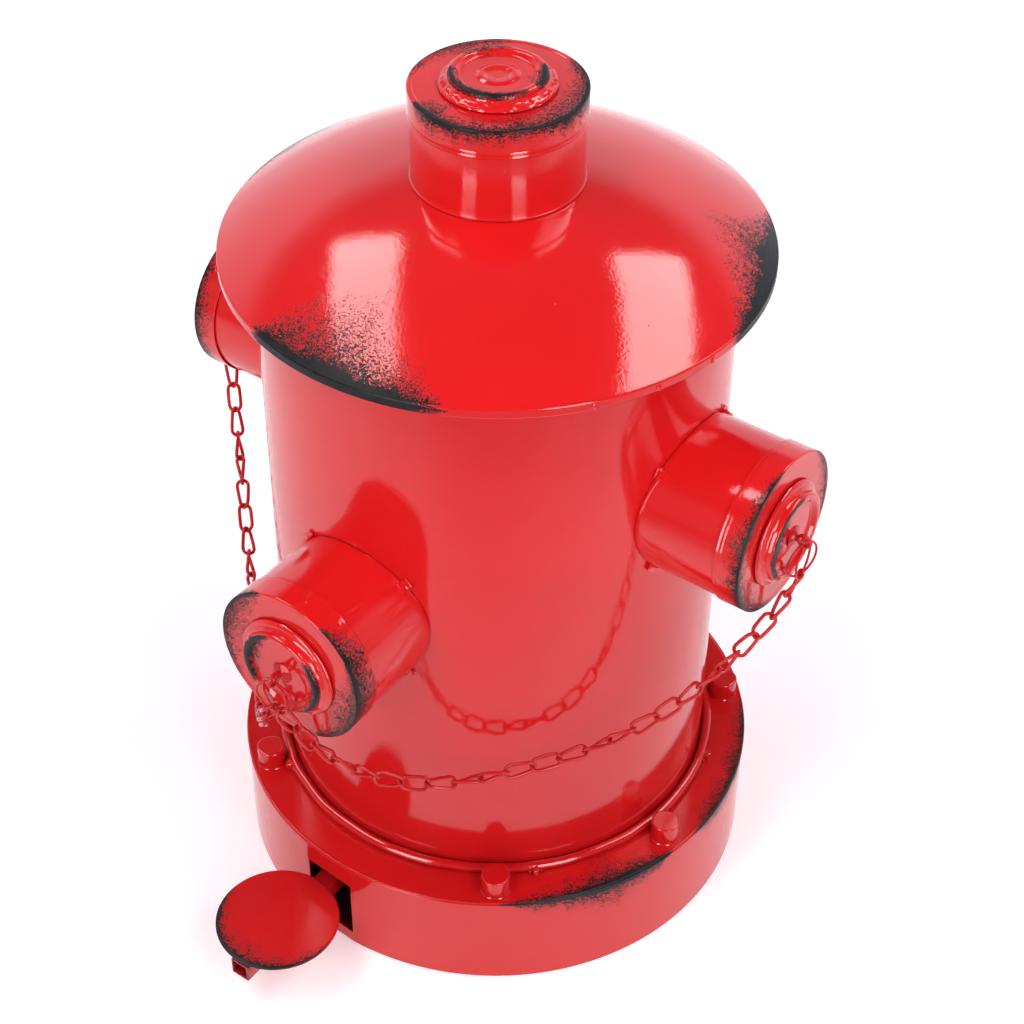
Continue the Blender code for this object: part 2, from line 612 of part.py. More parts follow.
def build_hinge(joint):
    ear_low, ear_high = HINGE_Z - 7 * MM, HINGE_Z + 4.5 * MM
    plate_y = BODY_RADIUS + GAP
    outline = [
        (plate_y, ear_low - 12 * MM),
        (plate_y + 1.5 * MM, ear_low - 12 * MM),
        (HINGE_Y + 4 * MM, ear_low),
        (HINGE_Y + 4 * MM, ear_high),
        (plate_y, ear_high),
    ]
    bracket = add("hinge_bracket", extrude(outline, -EAR_OUTSIDE, EAR_OUTSIDE), RED_PAINT)
    space_low = (-EAR_INSIDE, plate_y + 1.5 * MM, ear_low - 20 * MM)
    space_high = (EAR_INSIDE, HINGE_Y + 10 * MM, ear_high + 10 * MM)
    cut(bracket, box(space_low, space_high))
    notch_low = (PEDAL_X - CRANK_HALF_WIDTH - 4 * MM, plate_y - 5 * MM, CRANK_BOTTOM - 8 * MM)
    notch_high = (PEDAL_X + CRANK_HALF_WIDTH + 4 * MM, plate_y + 5 * MM, ear_high + 10 * MM)
    cut(bracket, box(notch_low, notch_high))
    drill(bracket, (0, HINGE_Y, HINGE_Z), HINGE_PIN_RADIUS + GAP, 90 * MM, "X")

    reach = EAR_OUTSIDE + 2 * MM
    pin = [(0, -reach), (HINGE_PIN_RADIUS, -reach), (HINGE_PIN_RADIUS, reach), (0, reach)]
    turn = Matrix.Translation((0, HINGE_Y, HINGE_Z)) @ Matrix.Rotation(math.pi / 2, 4, "Y")
    add("hinge_pin", moved(lathe(pin, SMALL_SIDES), turn), ZINC_STEEL)

    side = STRAP_HALF_WIDTH
    foot_outer, foot_inner = HINGE_Y + 4.5 * MM, HINGE_Y - 9 * MM
    outer_top = dome_underside(math.hypot(foot_outer, side)) - 1 * MM
    inner_top = dome_underside(math.hypot(foot_inner, side)) - 1 * MM
    outline = [
        (HINGE_Y - 4.8 * MM, HINGE_Z - 4 * MM),
        (HINGE_Y + 4.5 * MM, HINGE_Z - 4 * MM),
        (foot_outer, outer_top),
        (foot_inner, inner_top),
        (foot_inner + 1 * MM, inner_top - 2.5 * MM),
        (HINGE_Y + 1 * MM, outer_top - 3 * MM),
        (HINGE_Y - 4.8 * MM, HINGE_Z + 4.6 * MM),
    ]
    strap = add("lid_hinge_strap", extrude(outline, -side, side), ZINC_STEEL, joint)
    drill(strap, (0, HINGE_Y, HINGE_Z), HINGE_PIN_RADIUS + GAP, 90 * MM, "X")

    low = (PEDAL_X - CRANK_HALF_WIDTH, ROD_Y - 6 * MM, CRANK_BOTTOM)
    high = (PEDAL_X + CRANK_HALF_WIDTH, HINGE_Y - 4.8 * MM - GAP, CRANK_TOP)
    add("lid_crank", box(low, high), ZINC_STEEL, joint)


# ---- bucket ----------------------------------------------------------------------------------------------------------


def build_bucket(bail_joint):
    bottom = BASE_HEIGHT + SHEET + 2 * GAP
    lip = 2 * MM
    bucket = [
        (0, bottom),
        (BUCKET_BOTTOM_RADIUS, bottom),
        (BUCKET_TOP_RADIUS, BUCKET_TOP - 4 * MM),
        (BUCKET_TOP_RADIUS + lip, BUCKET_TOP - 4 * MM),
        (BUCKET_TOP_RADIUS + lip, BUCKET_TOP),
        (BUCKET_TOP_RADIUS - BUCKET_WALL, BUCKET_TOP),
        (BUCKET_BOTTOM_RADIUS - BUCKET_WALL, bottom + 2 * MM),
        (0, bottom + 2 * MM),
    ]
    add("bucket", lathe(bucket, BUCKET_SIDES), BLACK_PLASTIC)

    near = BUCKET_TOP_RADIUS + 2 * GAP
    for name, low_x in (("right", near), ("left", -near - 1.5 * MM)):
        ear = box((low_x, -8 * MM, BAIL_Z - 7 * MM), (low_x + 1.5 * MM, 8 * MM, BUCKET_TOP - 4.4 * MM))
        ear = add(name + "_bucket_ear", ear, ZINC_STEEL)
        drill(ear, (low_x, 0, BAIL_Z), BAIL_WIRE + 2 * GAP, 10 * MM, "X")

    arc = [math.pi * i / 16 for i in range(17)]
    path = [Vector((BAIL_RADIUS * math.cos(t), -BAIL_RADIUS * math.sin(t), BAIL_Z)) for t in arc]
    for reach in (near + 2.2 * MM, near + GAP):
        path.insert(0, Vector((reach, 0, BAIL_Z)))
        path.append(Vector((-reach, 0, BAIL_Z)))
    up = [Vector((0, 0, 1))] * len(path)
    add("bucket_bail", wire(path, up, BAIL_WIRE, 6, False), ZINC_STEEL, bail_joint)


def main():
    for thing in list(bpy.data.objects):
        bpy.data.objects.remove(thing)
    pedal_joint = add_joint("pedal_axis", (PEDAL_X, PIVOT_Y, PIVOT_Z))
    rod_joint = add_joint("push_rod_axis", (PEDAL_X, ROD_Y, 0))
    lid_joint = add_joint("lid_axis", (0, HINGE_Y, HINGE_Z))
    bail_joint = add_joint("bail_axis", (0, 0, BAIL_Z))
    build_base()
    build_body()
    build_lid(lid_joint)
    build_hinge(lid_joint)
    build_pedal(pedal_joint, rod_joint)
    build_bucket(bail_joint)
    build_nozzle("front")
    for side in ("right", "left"):
        chain_joint = add_joint(side + "_chain_axis", chain_ends(side)[0])
        build_nozzle(side, chain_joint)
        build_chain(side, chain_joint)


main()
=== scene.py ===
"""The looks of a pedal bin in the shape of a fire hydrant: glossy red sheet steel with sprayed black wear.

Angles round the bin, its lid and its base are in degrees from the front, turning towards +X. On an outlet
they are clock angles, as seen by someone facing the outlet. Lengths are in metres, and widths of wear in
millimetres.
"""

import json
import math

import bmesh
import bpy
import numpy as np
from mathutils import Matrix, Vector, noise


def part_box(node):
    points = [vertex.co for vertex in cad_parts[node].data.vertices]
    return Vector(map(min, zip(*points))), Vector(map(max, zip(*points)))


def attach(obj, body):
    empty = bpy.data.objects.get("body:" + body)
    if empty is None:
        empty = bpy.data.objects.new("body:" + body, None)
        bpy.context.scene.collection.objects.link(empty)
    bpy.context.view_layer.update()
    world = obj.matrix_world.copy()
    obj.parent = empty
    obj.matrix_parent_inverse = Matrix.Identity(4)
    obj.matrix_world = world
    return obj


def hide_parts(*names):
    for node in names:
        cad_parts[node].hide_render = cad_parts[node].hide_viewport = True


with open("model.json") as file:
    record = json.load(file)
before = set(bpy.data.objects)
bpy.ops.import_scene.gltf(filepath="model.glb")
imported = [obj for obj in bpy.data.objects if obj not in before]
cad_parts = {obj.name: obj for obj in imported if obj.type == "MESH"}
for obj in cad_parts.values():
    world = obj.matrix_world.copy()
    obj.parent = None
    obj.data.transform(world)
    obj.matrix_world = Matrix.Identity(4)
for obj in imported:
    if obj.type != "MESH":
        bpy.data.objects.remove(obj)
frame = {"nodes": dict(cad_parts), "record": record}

noise.seed_set(1)  # unseeded, noise_vector starts from the clock and every run differs
CAMERA_AZIMUTH = 35.44  # where the camera stands, in degrees from the front
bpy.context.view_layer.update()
MM = 0.001
SHEET = 0.8 * MM  # the thickness of the steel
BODY_OF = {node: body for body, nodes in frame["record"]["behaviour"]["bodies"].items() for node in nodes}
SLOT_OF = {part["node"]: part["material_slot"] for part in frame["record"]["subparts"]}
OPENINGS = {item["name"]: item["box_m"] for item in frame["record"]["physics"]["openings"]}
ABOUT_Y = Matrix.Rotation(math.pi / 2, 4, "Y")  # turns a shape made along Z to lie along +X


# ---- shapes ----
# A shape is (points, faces, wear): an array of points, lists of indices, and how much of the paint is worn at
# each point, from 0 to 1.


def outline(*corners, step=4 * MM):
    """Points along (radius, height, rounding) corners, with each corner rounded and long stretches parted."""
    line = []
    for i, corner in enumerate(corners):
        here = Vector(corner[:2])
        rounding = corner[2] if len(corner) > 2 else 0
        if not rounding or i in (0, len(corners) - 1):
            line.append(here)
            continue
        before, after = Vector(corners[i - 1][:2]) - here, Vector(corners[i + 1][:2]) - here
        half = before.angle(after) / 2
        reach = min(rounding / math.tan(half), 0.48 * before.length, 0.48 * after.length)
        start, end = here + before.normalized() * reach, here + after.normalized() * reach
        for k in range(5):
            t = k / 4
            line.append(start * (1 - t) ** 2 + here * 2 * t * (1 - t) + end * t**2)
    parted = [line[0]]
    for before, after in zip(line, line[1:]):
        length = (after - before).length
        shares = []
        if length > 1.5 * MM:
            inner = length - 0.8 * MM
            count = max(1, math.ceil(inner / step))
            shares = [(0.4 * MM + inner * k / count) / length for k in range(count + 1)]
        parted += [before.lerp(after, share) for share in shares] + [after]
    return [tuple(point) for point in parted]


def ragged(angles, seed):
    """A slow uneven factor round a circle, about 1, with short brush strokes on it."""
    turn = np.radians(angles)
    waves = ((5, 0.12), (11, 0.12), (23, 0.12), (41, 0.1), (67, 0.09), (97, 0.08))
    return 1 + sum(size * np.sin(count * turn + seed * (count + 1.7)) for count, size in waves)


BARE_SCALE, SPECKS_SCALE = 0.8, 1.1  # how far the paint is really worn, against the widths given
SPECKS_FADE = 1.15
FAINTEST_WEAR = 0.3 * MM


def coverage(sprays, run, angles, nearest):
    """How worn points are which lie run along an outline, at these angles round it.

    A spray is (edge point, what happens before it, what happens after it), each of the two a row of (angle,
    width worn bare, width with specks, density of the specks)."""
    total = np.zeros(len(angles))
    for number, (edge, before, after) in enumerate(sprays):
        away = run - nearest(edge)
        row = after if away > 0 else before
        if not row:
            continue
        knots = sorted(row)
        middle = (knots[0][0] + knots[-1][0]) / 2
        turn = (angles - middle + 180) % 360 - 180 + middle
        columns = list(zip(*knots))
        bare, specks, density = (np.interp(turn, columns[0], c, left=0, right=0) for c in columns[1:])
        seed = number + middle / 50
        bare = BARE_SCALE * bare * MM * ragged(angles, seed)
        specks = np.maximum(SPECKS_SCALE * specks * MM * ragged(angles, seed + 3), bare + 0.01 * MM)
        depth = np.clip((specks - abs(away)) / (specks - bare), 0, 1)
        cover = np.where(abs(away) <= bare, 1.0, density * depth**SPECKS_FADE)
        total = np.maximum(total, np.where(specks > FAINTEST_WEAR, cover, 0))
    return total


def spray(edge, before, after=None, bare=1.0, specks=1.0, density=0.85):
    """Rows of (angle, bare, specks) on both sides of an edge, the same on both if only one is given, and with
    their widths scaled by bare and specks."""
    scaled = lambda row: [(angle, bare * a, specks * b, density) for angle, a, b in row]
    return edge, scaled(before), scaled(before if after is None else after)


def lathe(line, sides=192, sprays=(), lumps=None):
    """Turns an outline about Z, from -Y through +X. Lumps says how far each point of a ring is pushed out."""
    run = [0.0]
    for before, after in zip(line, line[1:]):
        run.append(run[-1] + math.dist(before, after))
    angles = np.arange(sides) * 360 / sides
    turns = np.radians(angles)
    points, wear, rings = [], [], []
    nearest = lambda edge: run[min(range(len(line)), key=lambda k: math.dist(line[k], edge))]
    for index, (radius, height) in enumerate(line):
        count = 1 if radius == 0 else sides
        rings.append(range(len(points), len(points) + count))
        reach = np.full(count, radius)
        if lumps and radius:
            reach = reach + lumps(angles, radius, height)
        points += [(r * math.sin(t), -r * math.cos(t), height) for r, t in zip(reach, turns)]
        wear += list(coverage(sprays, run[index], angles[:count], nearest))
    pairs = list(zip(rings, rings[1:]))
    if line[0][0] > 0:
        pairs.append((rings[-1], rings[0]))
    faces = []
    for low, high in pairs:
        for k in range(sides):
            m = (k + 1) % sides
            corners = (low[k % len(low)], low[m % len(low)], high[m % len(high)], high[k % len(high)])
            faces.append(list(dict.fromkeys(corners)))
    return np.array(points), faces, np.array(wear)


def loft(rings, closed_rows=False, caps=False):
    """A skin over rings of equally many points."""
    count = len(rings[0])
    points = [point for ring in rings for point in ring]
    faces = []
    rows = len(rings)
    for i in range(rows if closed_rows else rows - 1):
        for k in range(count):
            m, j = (k + 1) % count, (i + 1) % rows
            faces.append([i * count + k, i * count + m, j * count + m, j * count + k])
    if caps:
        faces += [list(range(count)), list(range((rows - 1) * count, rows * count))]
    return np.array([tuple(p) for p in points]), faces, np.zeros(len(points))


def sweep(path, radius, sides=10, closed=False, side=None):
    """A round wire along a path. Its section starts with one corner towards side and turns with the path."""
    path = [Vector(point) for point in path]
    count = len(path)
    rings = []
    across = side and Vector(side)
    for i, point in enumerate(path):
        before = path[(i - 1) % count] if closed or i > 0 else point
        after = path[(i + 1) % count] if closed or i < count - 1 else point
        along = (after - before).normalized()
        if across is None:
            across = along.orthogonal()
        across = (across - along * across.dot(along)).normalized()
        third = along.cross(across)
        turns = [2 * math.pi * k / sides for k in range(sides)]
        rings.append([point + radius * (across * math.cos(t) + third * math.sin(t)) for t in turns])
    if closed:  # spreads the twist left over at the join
        first = (rings[0][0] - path[0]).normalized()
        along = (path[1] - path[-1]).normalized()
        carried = (across - along * across.dot(along)).normalized()
        twist = math.atan2(carried.cross(first).dot(along), carried.dot(first))
        for i, point in enumerate(path):
            axis = (path[(i + 1) % count] - path[i - 1]).normalized()
            turn = Matrix.Rotation(twist * i / count, 3, axis)
            rings[i] = [point + turn @ (corner - point) for corner in rings[i]]
    return loft(rings, closed_rows=closed, caps=not closed)


def block(low, high, rounding=0.6 * MM):
    """A box with rounded edges."""
    mesh = bmesh.new()
    size, centre = Vector(high) - Vector(low), (Vector(high) + Vector(low)) / 2
    bmesh.ops.create_cube(mesh, size=1, matrix=Matrix.Translation(centre) @ Matrix.Diagonal((*size, 1)))
    bmesh.ops.bevel(mesh, geom=list(mesh.edges), offset=rounding, segments=3, profile=0.6, affect="EDGES")
    mesh.verts.ensure_lookup_table()
    points = np.array([tuple(vertex.co) for vertex in mesh.verts])
    faces = [[vertex.index for vertex in face.verts] for face in mesh.faces]
    mesh.free()
    return points, faces, np.zeros(len(points))


def plate(left, right, low, high, hole, thickness, squareness=9, sides=64):
    """A plate in XY rising from Z = 0, about a round hole at the origin. The reaches are from its centre."""
    ring = []
    for k in range(sides):
        turn = 2 * math.pi * k / sides
        c, s = math.cos(turn), math.sin(turn)
        a, b = (right if c > 0 else left), (high if s > 0 else low)
        reach = ((abs(c) / a) ** squareness + (abs(s) / b) ** squareness) ** (-1 / squareness)
        ring.append((Vector((c, s, 0)), reach))
    edge = min(0.25 * thickness, 0.4 * MM)
    rings = []
    section = [
        ("hole", 0, edge),
        ("hole", edge, 0),
        ("rim", -edge, 0),
        ("rim", 0, edge),
        ("rim", 0, thickness - edge),
        ("rim", -edge, thickness),
        ("hole", edge, thickness),
        ("hole", 0, thickness - edge),
    ]
    for base, offset, height in section:
        distance = lambda reach: (hole if base == "hole" else reach) + offset
        rings.append([way * distance(reach) + Vector((0, 0, height)) for way, reach in ring])
    return loft(rings, closed_rows=True)


def blob(centre, size, seed, lift=0.18, detail=3):
    """A lump of paint or weld: an uneven rounded drop."""
    mesh = bmesh.new()
    bmesh.ops.create_icosphere(mesh, subdivisions=detail, radius=1)
    points = []
    for vertex in mesh.verts:
        swell = 1 + lift * noise.noise(vertex.co * 1.3 + Vector((seed, 2.1 * seed, 0)))
        points.append([centre[i] + vertex.co[i] * size[i] * swell for i in range(3)])
    faces = [[vertex.index for vertex in face.verts] for face in mesh.faces]
    mesh.free()
    return np.array(points), faces, np.zeros(len(points))


def moved(shape, matrix):
    points, faces, wear = shape
    turned = np.array(matrix.to_3x3())
    return points @ turned.T + np.array(matrix.translation), faces, wear


def joined(*shapes):
    points, faces, wear, start = [], [], [], 0
    for shape in shapes:
        points.append(shape[0])
        faces += [[start + index for index in face] for face in shape[1]]
        wear.append(shape[2])
        start += len(shape[0])
    return np.concatenate(points), faces, np.concatenate(wear)


def uneven(shape, size, grain, seed=0.0):
    """Pushes each point about by slow noise, so that a hand-made piece isn't perfect."""
    points, faces, wear = shape
    shift = [noise.noise_vector(Vector(point) / grain + Vector((seed, 0, 0))) * size for point in points]
    return points + np.array([tuple(step) for step in shift]), faces, wear


# ---- materials ----


class Nodes:
    """Short ways to make the nodes of one material."""

    def __init__(self, name):
        self.material = bpy.data.materials.new(name)
        self.material.use_nodes = True
        self.tree = self.material.node_tree
        self.surface = self.tree.nodes["Principled BSDF"]
        self.place = self.tree.nodes.new("ShaderNodeTexCoord").outputs["Object"]

    def link(self, value, socket):
        if isinstance(value, bpy.types.NodeSocket):
            self.tree.links.new(value, socket)
        else:
            socket.default_value = value

    def noise(self, scale, detail=2.0, roughness=0.5, distortion=0.0):
        node = self.tree.nodes.new("ShaderNodeTexNoise")
        node.inputs["Scale"].default_value = scale
        node.inputs["Detail"].default_value = detail
        node.inputs["Roughness"].default_value = roughness
        node.inputs["Distortion"].default_value = distortion
        self.link(self.place, node.inputs["Vector"])
        return node.outputs["Fac"]

    def cells(self, scale, output="Distance"):
        node = self.tree.nodes.new("ShaderNodeTexVoronoi")
        node.inputs["Scale"].default_value = scale
        self.link(self.place, node.inputs["Vector"])
        return node.outputs[output]

    def math(self, operation, *values, clamp=False):
        """One step of arithmetic on values or sockets."""
        node = self.tree.nodes.new("ShaderNodeMath")
        node.operation = operation
        node.use_clamp = clamp
        for value, socket in zip(values, node.inputs):
            self.link(value, socket)
        return node.outputs[0]

    def spread(self, value, low, high, to_low=0.0, to_high=1.0):
        node = self.tree.nodes.new("ShaderNodeMapRange")
        for item, socket in zip((value, low, high, to_low, to_high), node.inputs):
            self.link(item, socket)
        return node.outputs[0]

    def mix(self, share, first, second):
        node = self.tree.nodes.new("ShaderNodeMix")
        node.data_type = "RGBA"
        self.link(share, node.inputs["Factor"])
        self.link(first, node.inputs[6])
        self.link(second, node.inputs[7])
        return node.outputs[2]

    def blend(self, share, first, second):
        node = self.tree.nodes.new("ShaderNodeMix")
        for value, socket in zip((share, first, second), (node.inputs[0], node.inputs[2], node.inputs[3])):
            self.link(value, socket)
        return node.outputs[0]

    def random_cells(self, scale):
        """A random value for each small cell of space."""
        node = self.tree.nodes.new("ShaderNodeSeparateColor")
        self.link(self.cells(scale, "Color"), node.inputs[0])
        return node.outputs[0]

    def weighted(self, *pairs):
        """The sum of (weight, value) pairs."""
        total = 0.0
        for weight, value in pairs:
            total = self.math("MULTIPLY_ADD", value, weight, total)
        return total

    def bump(self, height, distance, before=None):
        node = self.tree.nodes.new("ShaderNodeBump")
        node.inputs["Distance"].default_value = distance
        node.inputs["Strength"].default_value = 1.0
        self.link(height, node.inputs["Height"])
        if before:
            self.link(before, node.inputs["Normal"])
        return node.outputs[0]

    def finish(self, colour, roughness, normal, metallic=0.0):
        self.link(colour, self.surface.inputs["Base Color"])
        self.link(roughness, self.surface.inputs["Roughness"])
        self.link(normal, self.surface.inputs["Normal"])
        self.surface.inputs["Metallic"].default_value = metallic
        return self.material


def red_paint(name, deep, bright, roughness, specular=0.5):
    """Glossy red paint with orange peel and a few pimples, darkened with painted shade towards the bottom of
    the bin, and worn through to speckled black as the wear attribute says."""
    n = Nodes(name)
    worn = n.tree.nodes.new("ShaderNodeAttribute")
    worn.attribute_name = "wear"
    clumps = n.spread(n.noise(300, 4, 0.65, 0.5), 0.3, 0.7)
    chance = n.weighted((0.45, n.random_cells(2100)), (0.4, n.random_cells(1300)), (0.15, clumps))
    chance = n.spread(chance, 0.22, 0.74, 0.06, 0.96)
    mask = n.math("MULTIPLY_ADD", n.math("SUBTRACT", worn.outputs["Fac"], chance), 12.0, 0.5, clamp=True)
    tone = n.spread(n.noise(9, 3, 0.6), 0.3, 0.7)
    red = n.mix(tone, (*deep, 1), (*bright, 1))
    split = n.tree.nodes.new("ShaderNodeSeparateXYZ")
    n.link(n.place, split.inputs[0])
    # Painted shade: below 0.34 m the red is darkened, most at the bottom, standing for the shade on the lower
    # body and the base.
    foot = n.spread(split.outputs["Z"], 0.1, 0.34, 0.52, 0.0)
    red = n.mix(foot, red, (0.56 * deep[0], 0.6 * deep[1], 0.6 * deep[2], 1))
    black = n.mix(n.noise(160, 3), (0.007, 0.007, 0.008, 1), (0.017, 0.017, 0.019, 1))
    colour = n.mix(mask, red, black)
    gloss = n.spread(n.noise(40, 3, 0.6), 0.3, 0.7, roughness, roughness + 0.04)
    rough = n.blend(mask, gloss, n.spread(n.noise(500, 2), 0.3, 0.7, 0.26, 0.42))
    n.link(n.spread(mask, 0, 1, specular, 0.14), n.surface.inputs["Specular IOR Level"])
    peel = n.bump(n.noise(560, 2, 0.5), 0.05 * MM)
    slow = n.bump(n.noise(35, 2, 0.5), 0.14 * MM, peel)
    pimples = n.spread(n.cells(48), 0.0, 0.032, 1.0, 0.0)
    normal = n.bump(pimples, 0.25 * MM, slow)
    normal = n.bump(mask, 0.03 * MM, normal)
    n.surface.inputs["IOR"].default_value = 1.46
    return n.finish(colour, rough, normal)


def zinc_steel():
    """Zinc-plated steel with faint spangle, fine rolling lines and dull patches."""
    n = Nodes("zinc_plated_steel")
    tone = n.weighted((0.35, n.random_cells(260)), (0.65, n.noise(60, 4)))
    colour = n.mix(tone, (0.3, 0.31, 0.32, 1), (0.58, 0.59, 0.6, 1))
    rough = n.spread(n.noise(150, 4, 0.7), 0.3, 0.7, 0.28, 0.5)
    return n.finish(colour, rough, n.bump(n.noise(900, 3), 0.02 * MM), metallic=1.0)


def black_plastic():
    """Moulded black plastic with a fine texture and faint scuffs."""
    n = Nodes("moulded_black_plastic")
    scuff = n.spread(n.noise(28, 5, 0.7, 1.5), 0.5, 0.75)
    colour = n.mix(scuff, (0.013, 0.013, 0.015, 1), (0.032, 0.032, 0.034, 1))
    rough = n.spread(n.noise(70, 3), 0.3, 0.7, 0.4, 0.58)
    return n.finish(colour, rough, n.bump(n.noise(1500, 2), 0.03 * MM))


def pale_floor():
    """A plain pale floor, dimmer with painted shade some way in front of the bin, and glowing with painted
    light elsewhere, most far behind it.
    """
    n = Nodes("pale_floor")
    turn = math.radians(CAMERA_AZIMUTH)
    depth = n.tree.nodes.new("ShaderNodeVectorMath")
    depth.operation = "DOT_PRODUCT"
    depth.inputs[1].default_value = (math.sin(turn), -math.cos(turn), 0)
    n.link(n.place, depth.inputs[0])
    # Painted shade: the floor's colour turns dark grey some way in front of the bin.
    dim = n.spread(depth.outputs["Value"], 0.32, 0.72)
    pale = n.mix(n.noise(1.5, 3), (0.93, 0.94, 0.97, 1), (0.96, 0.97, 1.0, 1))
    colour = n.mix(dim, pale, (0.3, 0.3, 0.31, 1))
    # Painted light: the floor glows, most far behind the bin and hardly at all in front of it.
    glow = n.mix(n.spread(depth.outputs["Value"], -2.0, -0.6), (0.7, 0.71, 0.74, 1), (0.24, 0.23, 0.23, 1))
    n.link(n.mix(dim, glow, (0.01, 0.01, 0.01, 1)), n.surface.inputs["Emission Color"])
    n.surface.inputs["Emission Strength"].default_value = 1.0
    return n.finish(colour, n.spread(n.noise(4, 3), 0.3, 0.7, 0.6, 0.7), n.bump(n.noise(80, 2), 0.02 * MM))


REDS = (0.69, 0.0095, 0.0115), (0.76, 0.0125, 0.0145)
SATIN = red_paint("satin_red_paint", *REDS, 0.13, 0.28)
FINISHES = {
    "red_paint": red_paint("gloss_red_paint", *REDS, 0.06),
    "painted_wire": red_paint("gloss_red_wire_paint", (0.54, 0.008, 0.01), (0.62, 0.01, 0.012), 0.2, 0.3),
    "zinc_steel": zinc_steel(),
    "black_plastic": black_plastic(),
}


def add(name, shape, *nodes, finish=None):
    """Makes the piece that stands for these CAD nodes, in the first one's finish and on its body."""
    points, faces, wear = shape
    data = bpy.data.meshes.new(name)
    data.from_pydata([tuple(point) for point in points], [], faces)
    data.attributes.new("wear", "FLOAT", "POINT").data.foreach_set("value", wear.astype(np.float32))
    mesh = bmesh.new()
    mesh.from_mesh(data)
    bmesh.ops.recalc_face_normals(mesh, faces=mesh.faces)
    mesh.to_mesh(data)
    mesh.free()
    data.shade_smooth()
    data.set_sharp_from_angle(angle=math.radians(42))
    thing = bpy.data.objects.new(name, data)
    bpy.context.scene.collection.objects.link(thing)
    slot = SLOT_OF[nodes[0]]
    data.materials.append(finish or FINISHES[slot])
    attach(thing, BODY_OF[nodes[0]])
    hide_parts(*nodes)
    return thing


# ---- base ----


def tube_wall(outer, inner, heights, angles, window, sprays=()):
    """A thin round wall with a rectangular window in it, given as (low angle, high angle, bottom, top)."""
    low_angle, high_angle, bottom, top = window
    outside = set(round(a, 4) for a in angles if not low_angle < a < high_angle)
    angles = sorted(outside | {low_angle, high_angle})
    turns = np.radians(angles)
    heights = sorted(set(round(h, 6) for h in heights) | {bottom, min(top, max(heights))})
    rows, columns = len(heights), len(angles)
    points, wear = [], []
    for radius in (outer, inner):
        for height in heights:
            points += [(radius * math.sin(t), -radius * math.cos(t), height) for t in turns]
            wear += list(coverage(sprays, height, np.array(angles), lambda edge: edge))
    index = lambda layer, i, k: (layer * rows + i) * columns + k % columns
    kept = set()
    for i in range(rows - 1):
        for k in range(columns):
            in_turn = angles[k] >= low_angle and k + 1 < columns and angles[k + 1] <= high_angle
            in_height = heights[i] >= bottom - 1e-7 and heights[i + 1] <= top + 1e-7
            if not (in_turn and in_height):
                kept.add((i, k))
    faces = []
    for i, k in kept:
        for layer in (0, 1):
            corners = ((i, k), (i, k + 1), (i + 1, k + 1), (i + 1, k))
            faces.append([index(layer, *corner) for corner in corners])
        sides = {
            (i - 1, k): ((i, k), (i, k + 1)),
            (i + 1, k): ((i + 1, k), (i + 1, k + 1)),
            (i, (k - 1) % columns): ((i, k), (i + 1, k)),
            (i, (k + 1) % columns): ((i, k + 1), (i + 1, k + 1)),
        }
        for neighbour, ((i0, k0), (i1, k1)) in sides.items():
            if neighbour not in kept:
                faces.append([index(0, i0, k0), index(0, i1, k1), index(1, i1, k1), index(1, i0, k0)])
    return np.array(points), faces, np.array(wear)


def build_base():
    low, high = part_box("base_skirt")
    radius, top = high.x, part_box("base_top_flange")[1].z
    pan_low, pan_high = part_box("base_pan")
    pan = outline(
        (0, pan_low.z),
        (pan_high.x - 1 * MM, pan_low.z, 0.3 * MM),
        (pan_high.x, pan_low.z + 0.3 * MM),
        (pan_high.x, pan_high.z),
        (0, pan_high.z),
    )
    add("pan", lathe(pan, 160), "base_pan")

    margin = 0.8 * MM
    slot_low, slot_high = OPENINGS["pedal_slot_low"], OPENINGS["pedal_slot_high"]
    left, right = slot_high[0][0] - margin, slot_low[1][0] + margin
    bottom, slot_top = slot_low[0][2] - 1 * MM, slot_high[1][2] + 1 * MM
    window = (*(math.degrees(math.asin(x / radius)) for x in (left, right)), bottom, slot_top)
    hem_bottom = top - 3.1 * MM
    heights = [*np.linspace(low.z, top - 20 * MM, 8), *np.linspace(top - 20 * MM, hem_bottom, 18)]
    angles = [a - 180 for a in np.arange(0, 360, 1.125)]
    outer = radius - 0.35 * MM
    skirt = tube_wall(outer, outer - SHEET, heights, angles, window, base_sprays(top - 1.4 * MM))
    add("skirt", skirt, "base_skirt")

    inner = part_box("body_shell")[1].x - 3 * MM
    lip = radius - SHEET - 1.2 * MM
    flange = outline(
        (inner, top - SHEET),
        (lip - SHEET, top - SHEET, 0.6 * MM),
        (lip - SHEET, top - 9 * MM),
        (lip, top - 9 * MM),
        (lip, top - 3 * MM),
        (radius - 0.4 * MM, top - 3.3 * MM, 0.2 * MM),
        (radius + 0.1 * MM, top - 2.7 * MM, 0.35 * MM),
        (radius + 0.1 * MM, top - 1.9 * MM, 0.35 * MM),
        (radius - 0.45 * MM, top - 1.4 * MM, 0.2 * MM),
        (radius - 0.2 * MM, top - 0.8 * MM, 0.3 * MM),
        (radius - 0.5 * MM, top + 0.15 * MM, 0.6 * MM),
        (radius - 1.6 * MM, top + 0.1 * MM, 0.4 * MM),
        (radius - 2.2 * MM, top - 0.1 * MM, 0.5 * MM),
        (inner, top),
        step=3 * MM,
    )
    hem = (radius - 0.45 * MM, top - 1.4 * MM)
    lumps = lambda angles, r, z: hem_lumps(angles, r, z, radius, top)
    add("top_flange", lathe(flange, 320, base_sprays(hem), lumps), "base_top_flange", finish=SATIN)

    for number in range(1, 8):
        build_bolt(number)


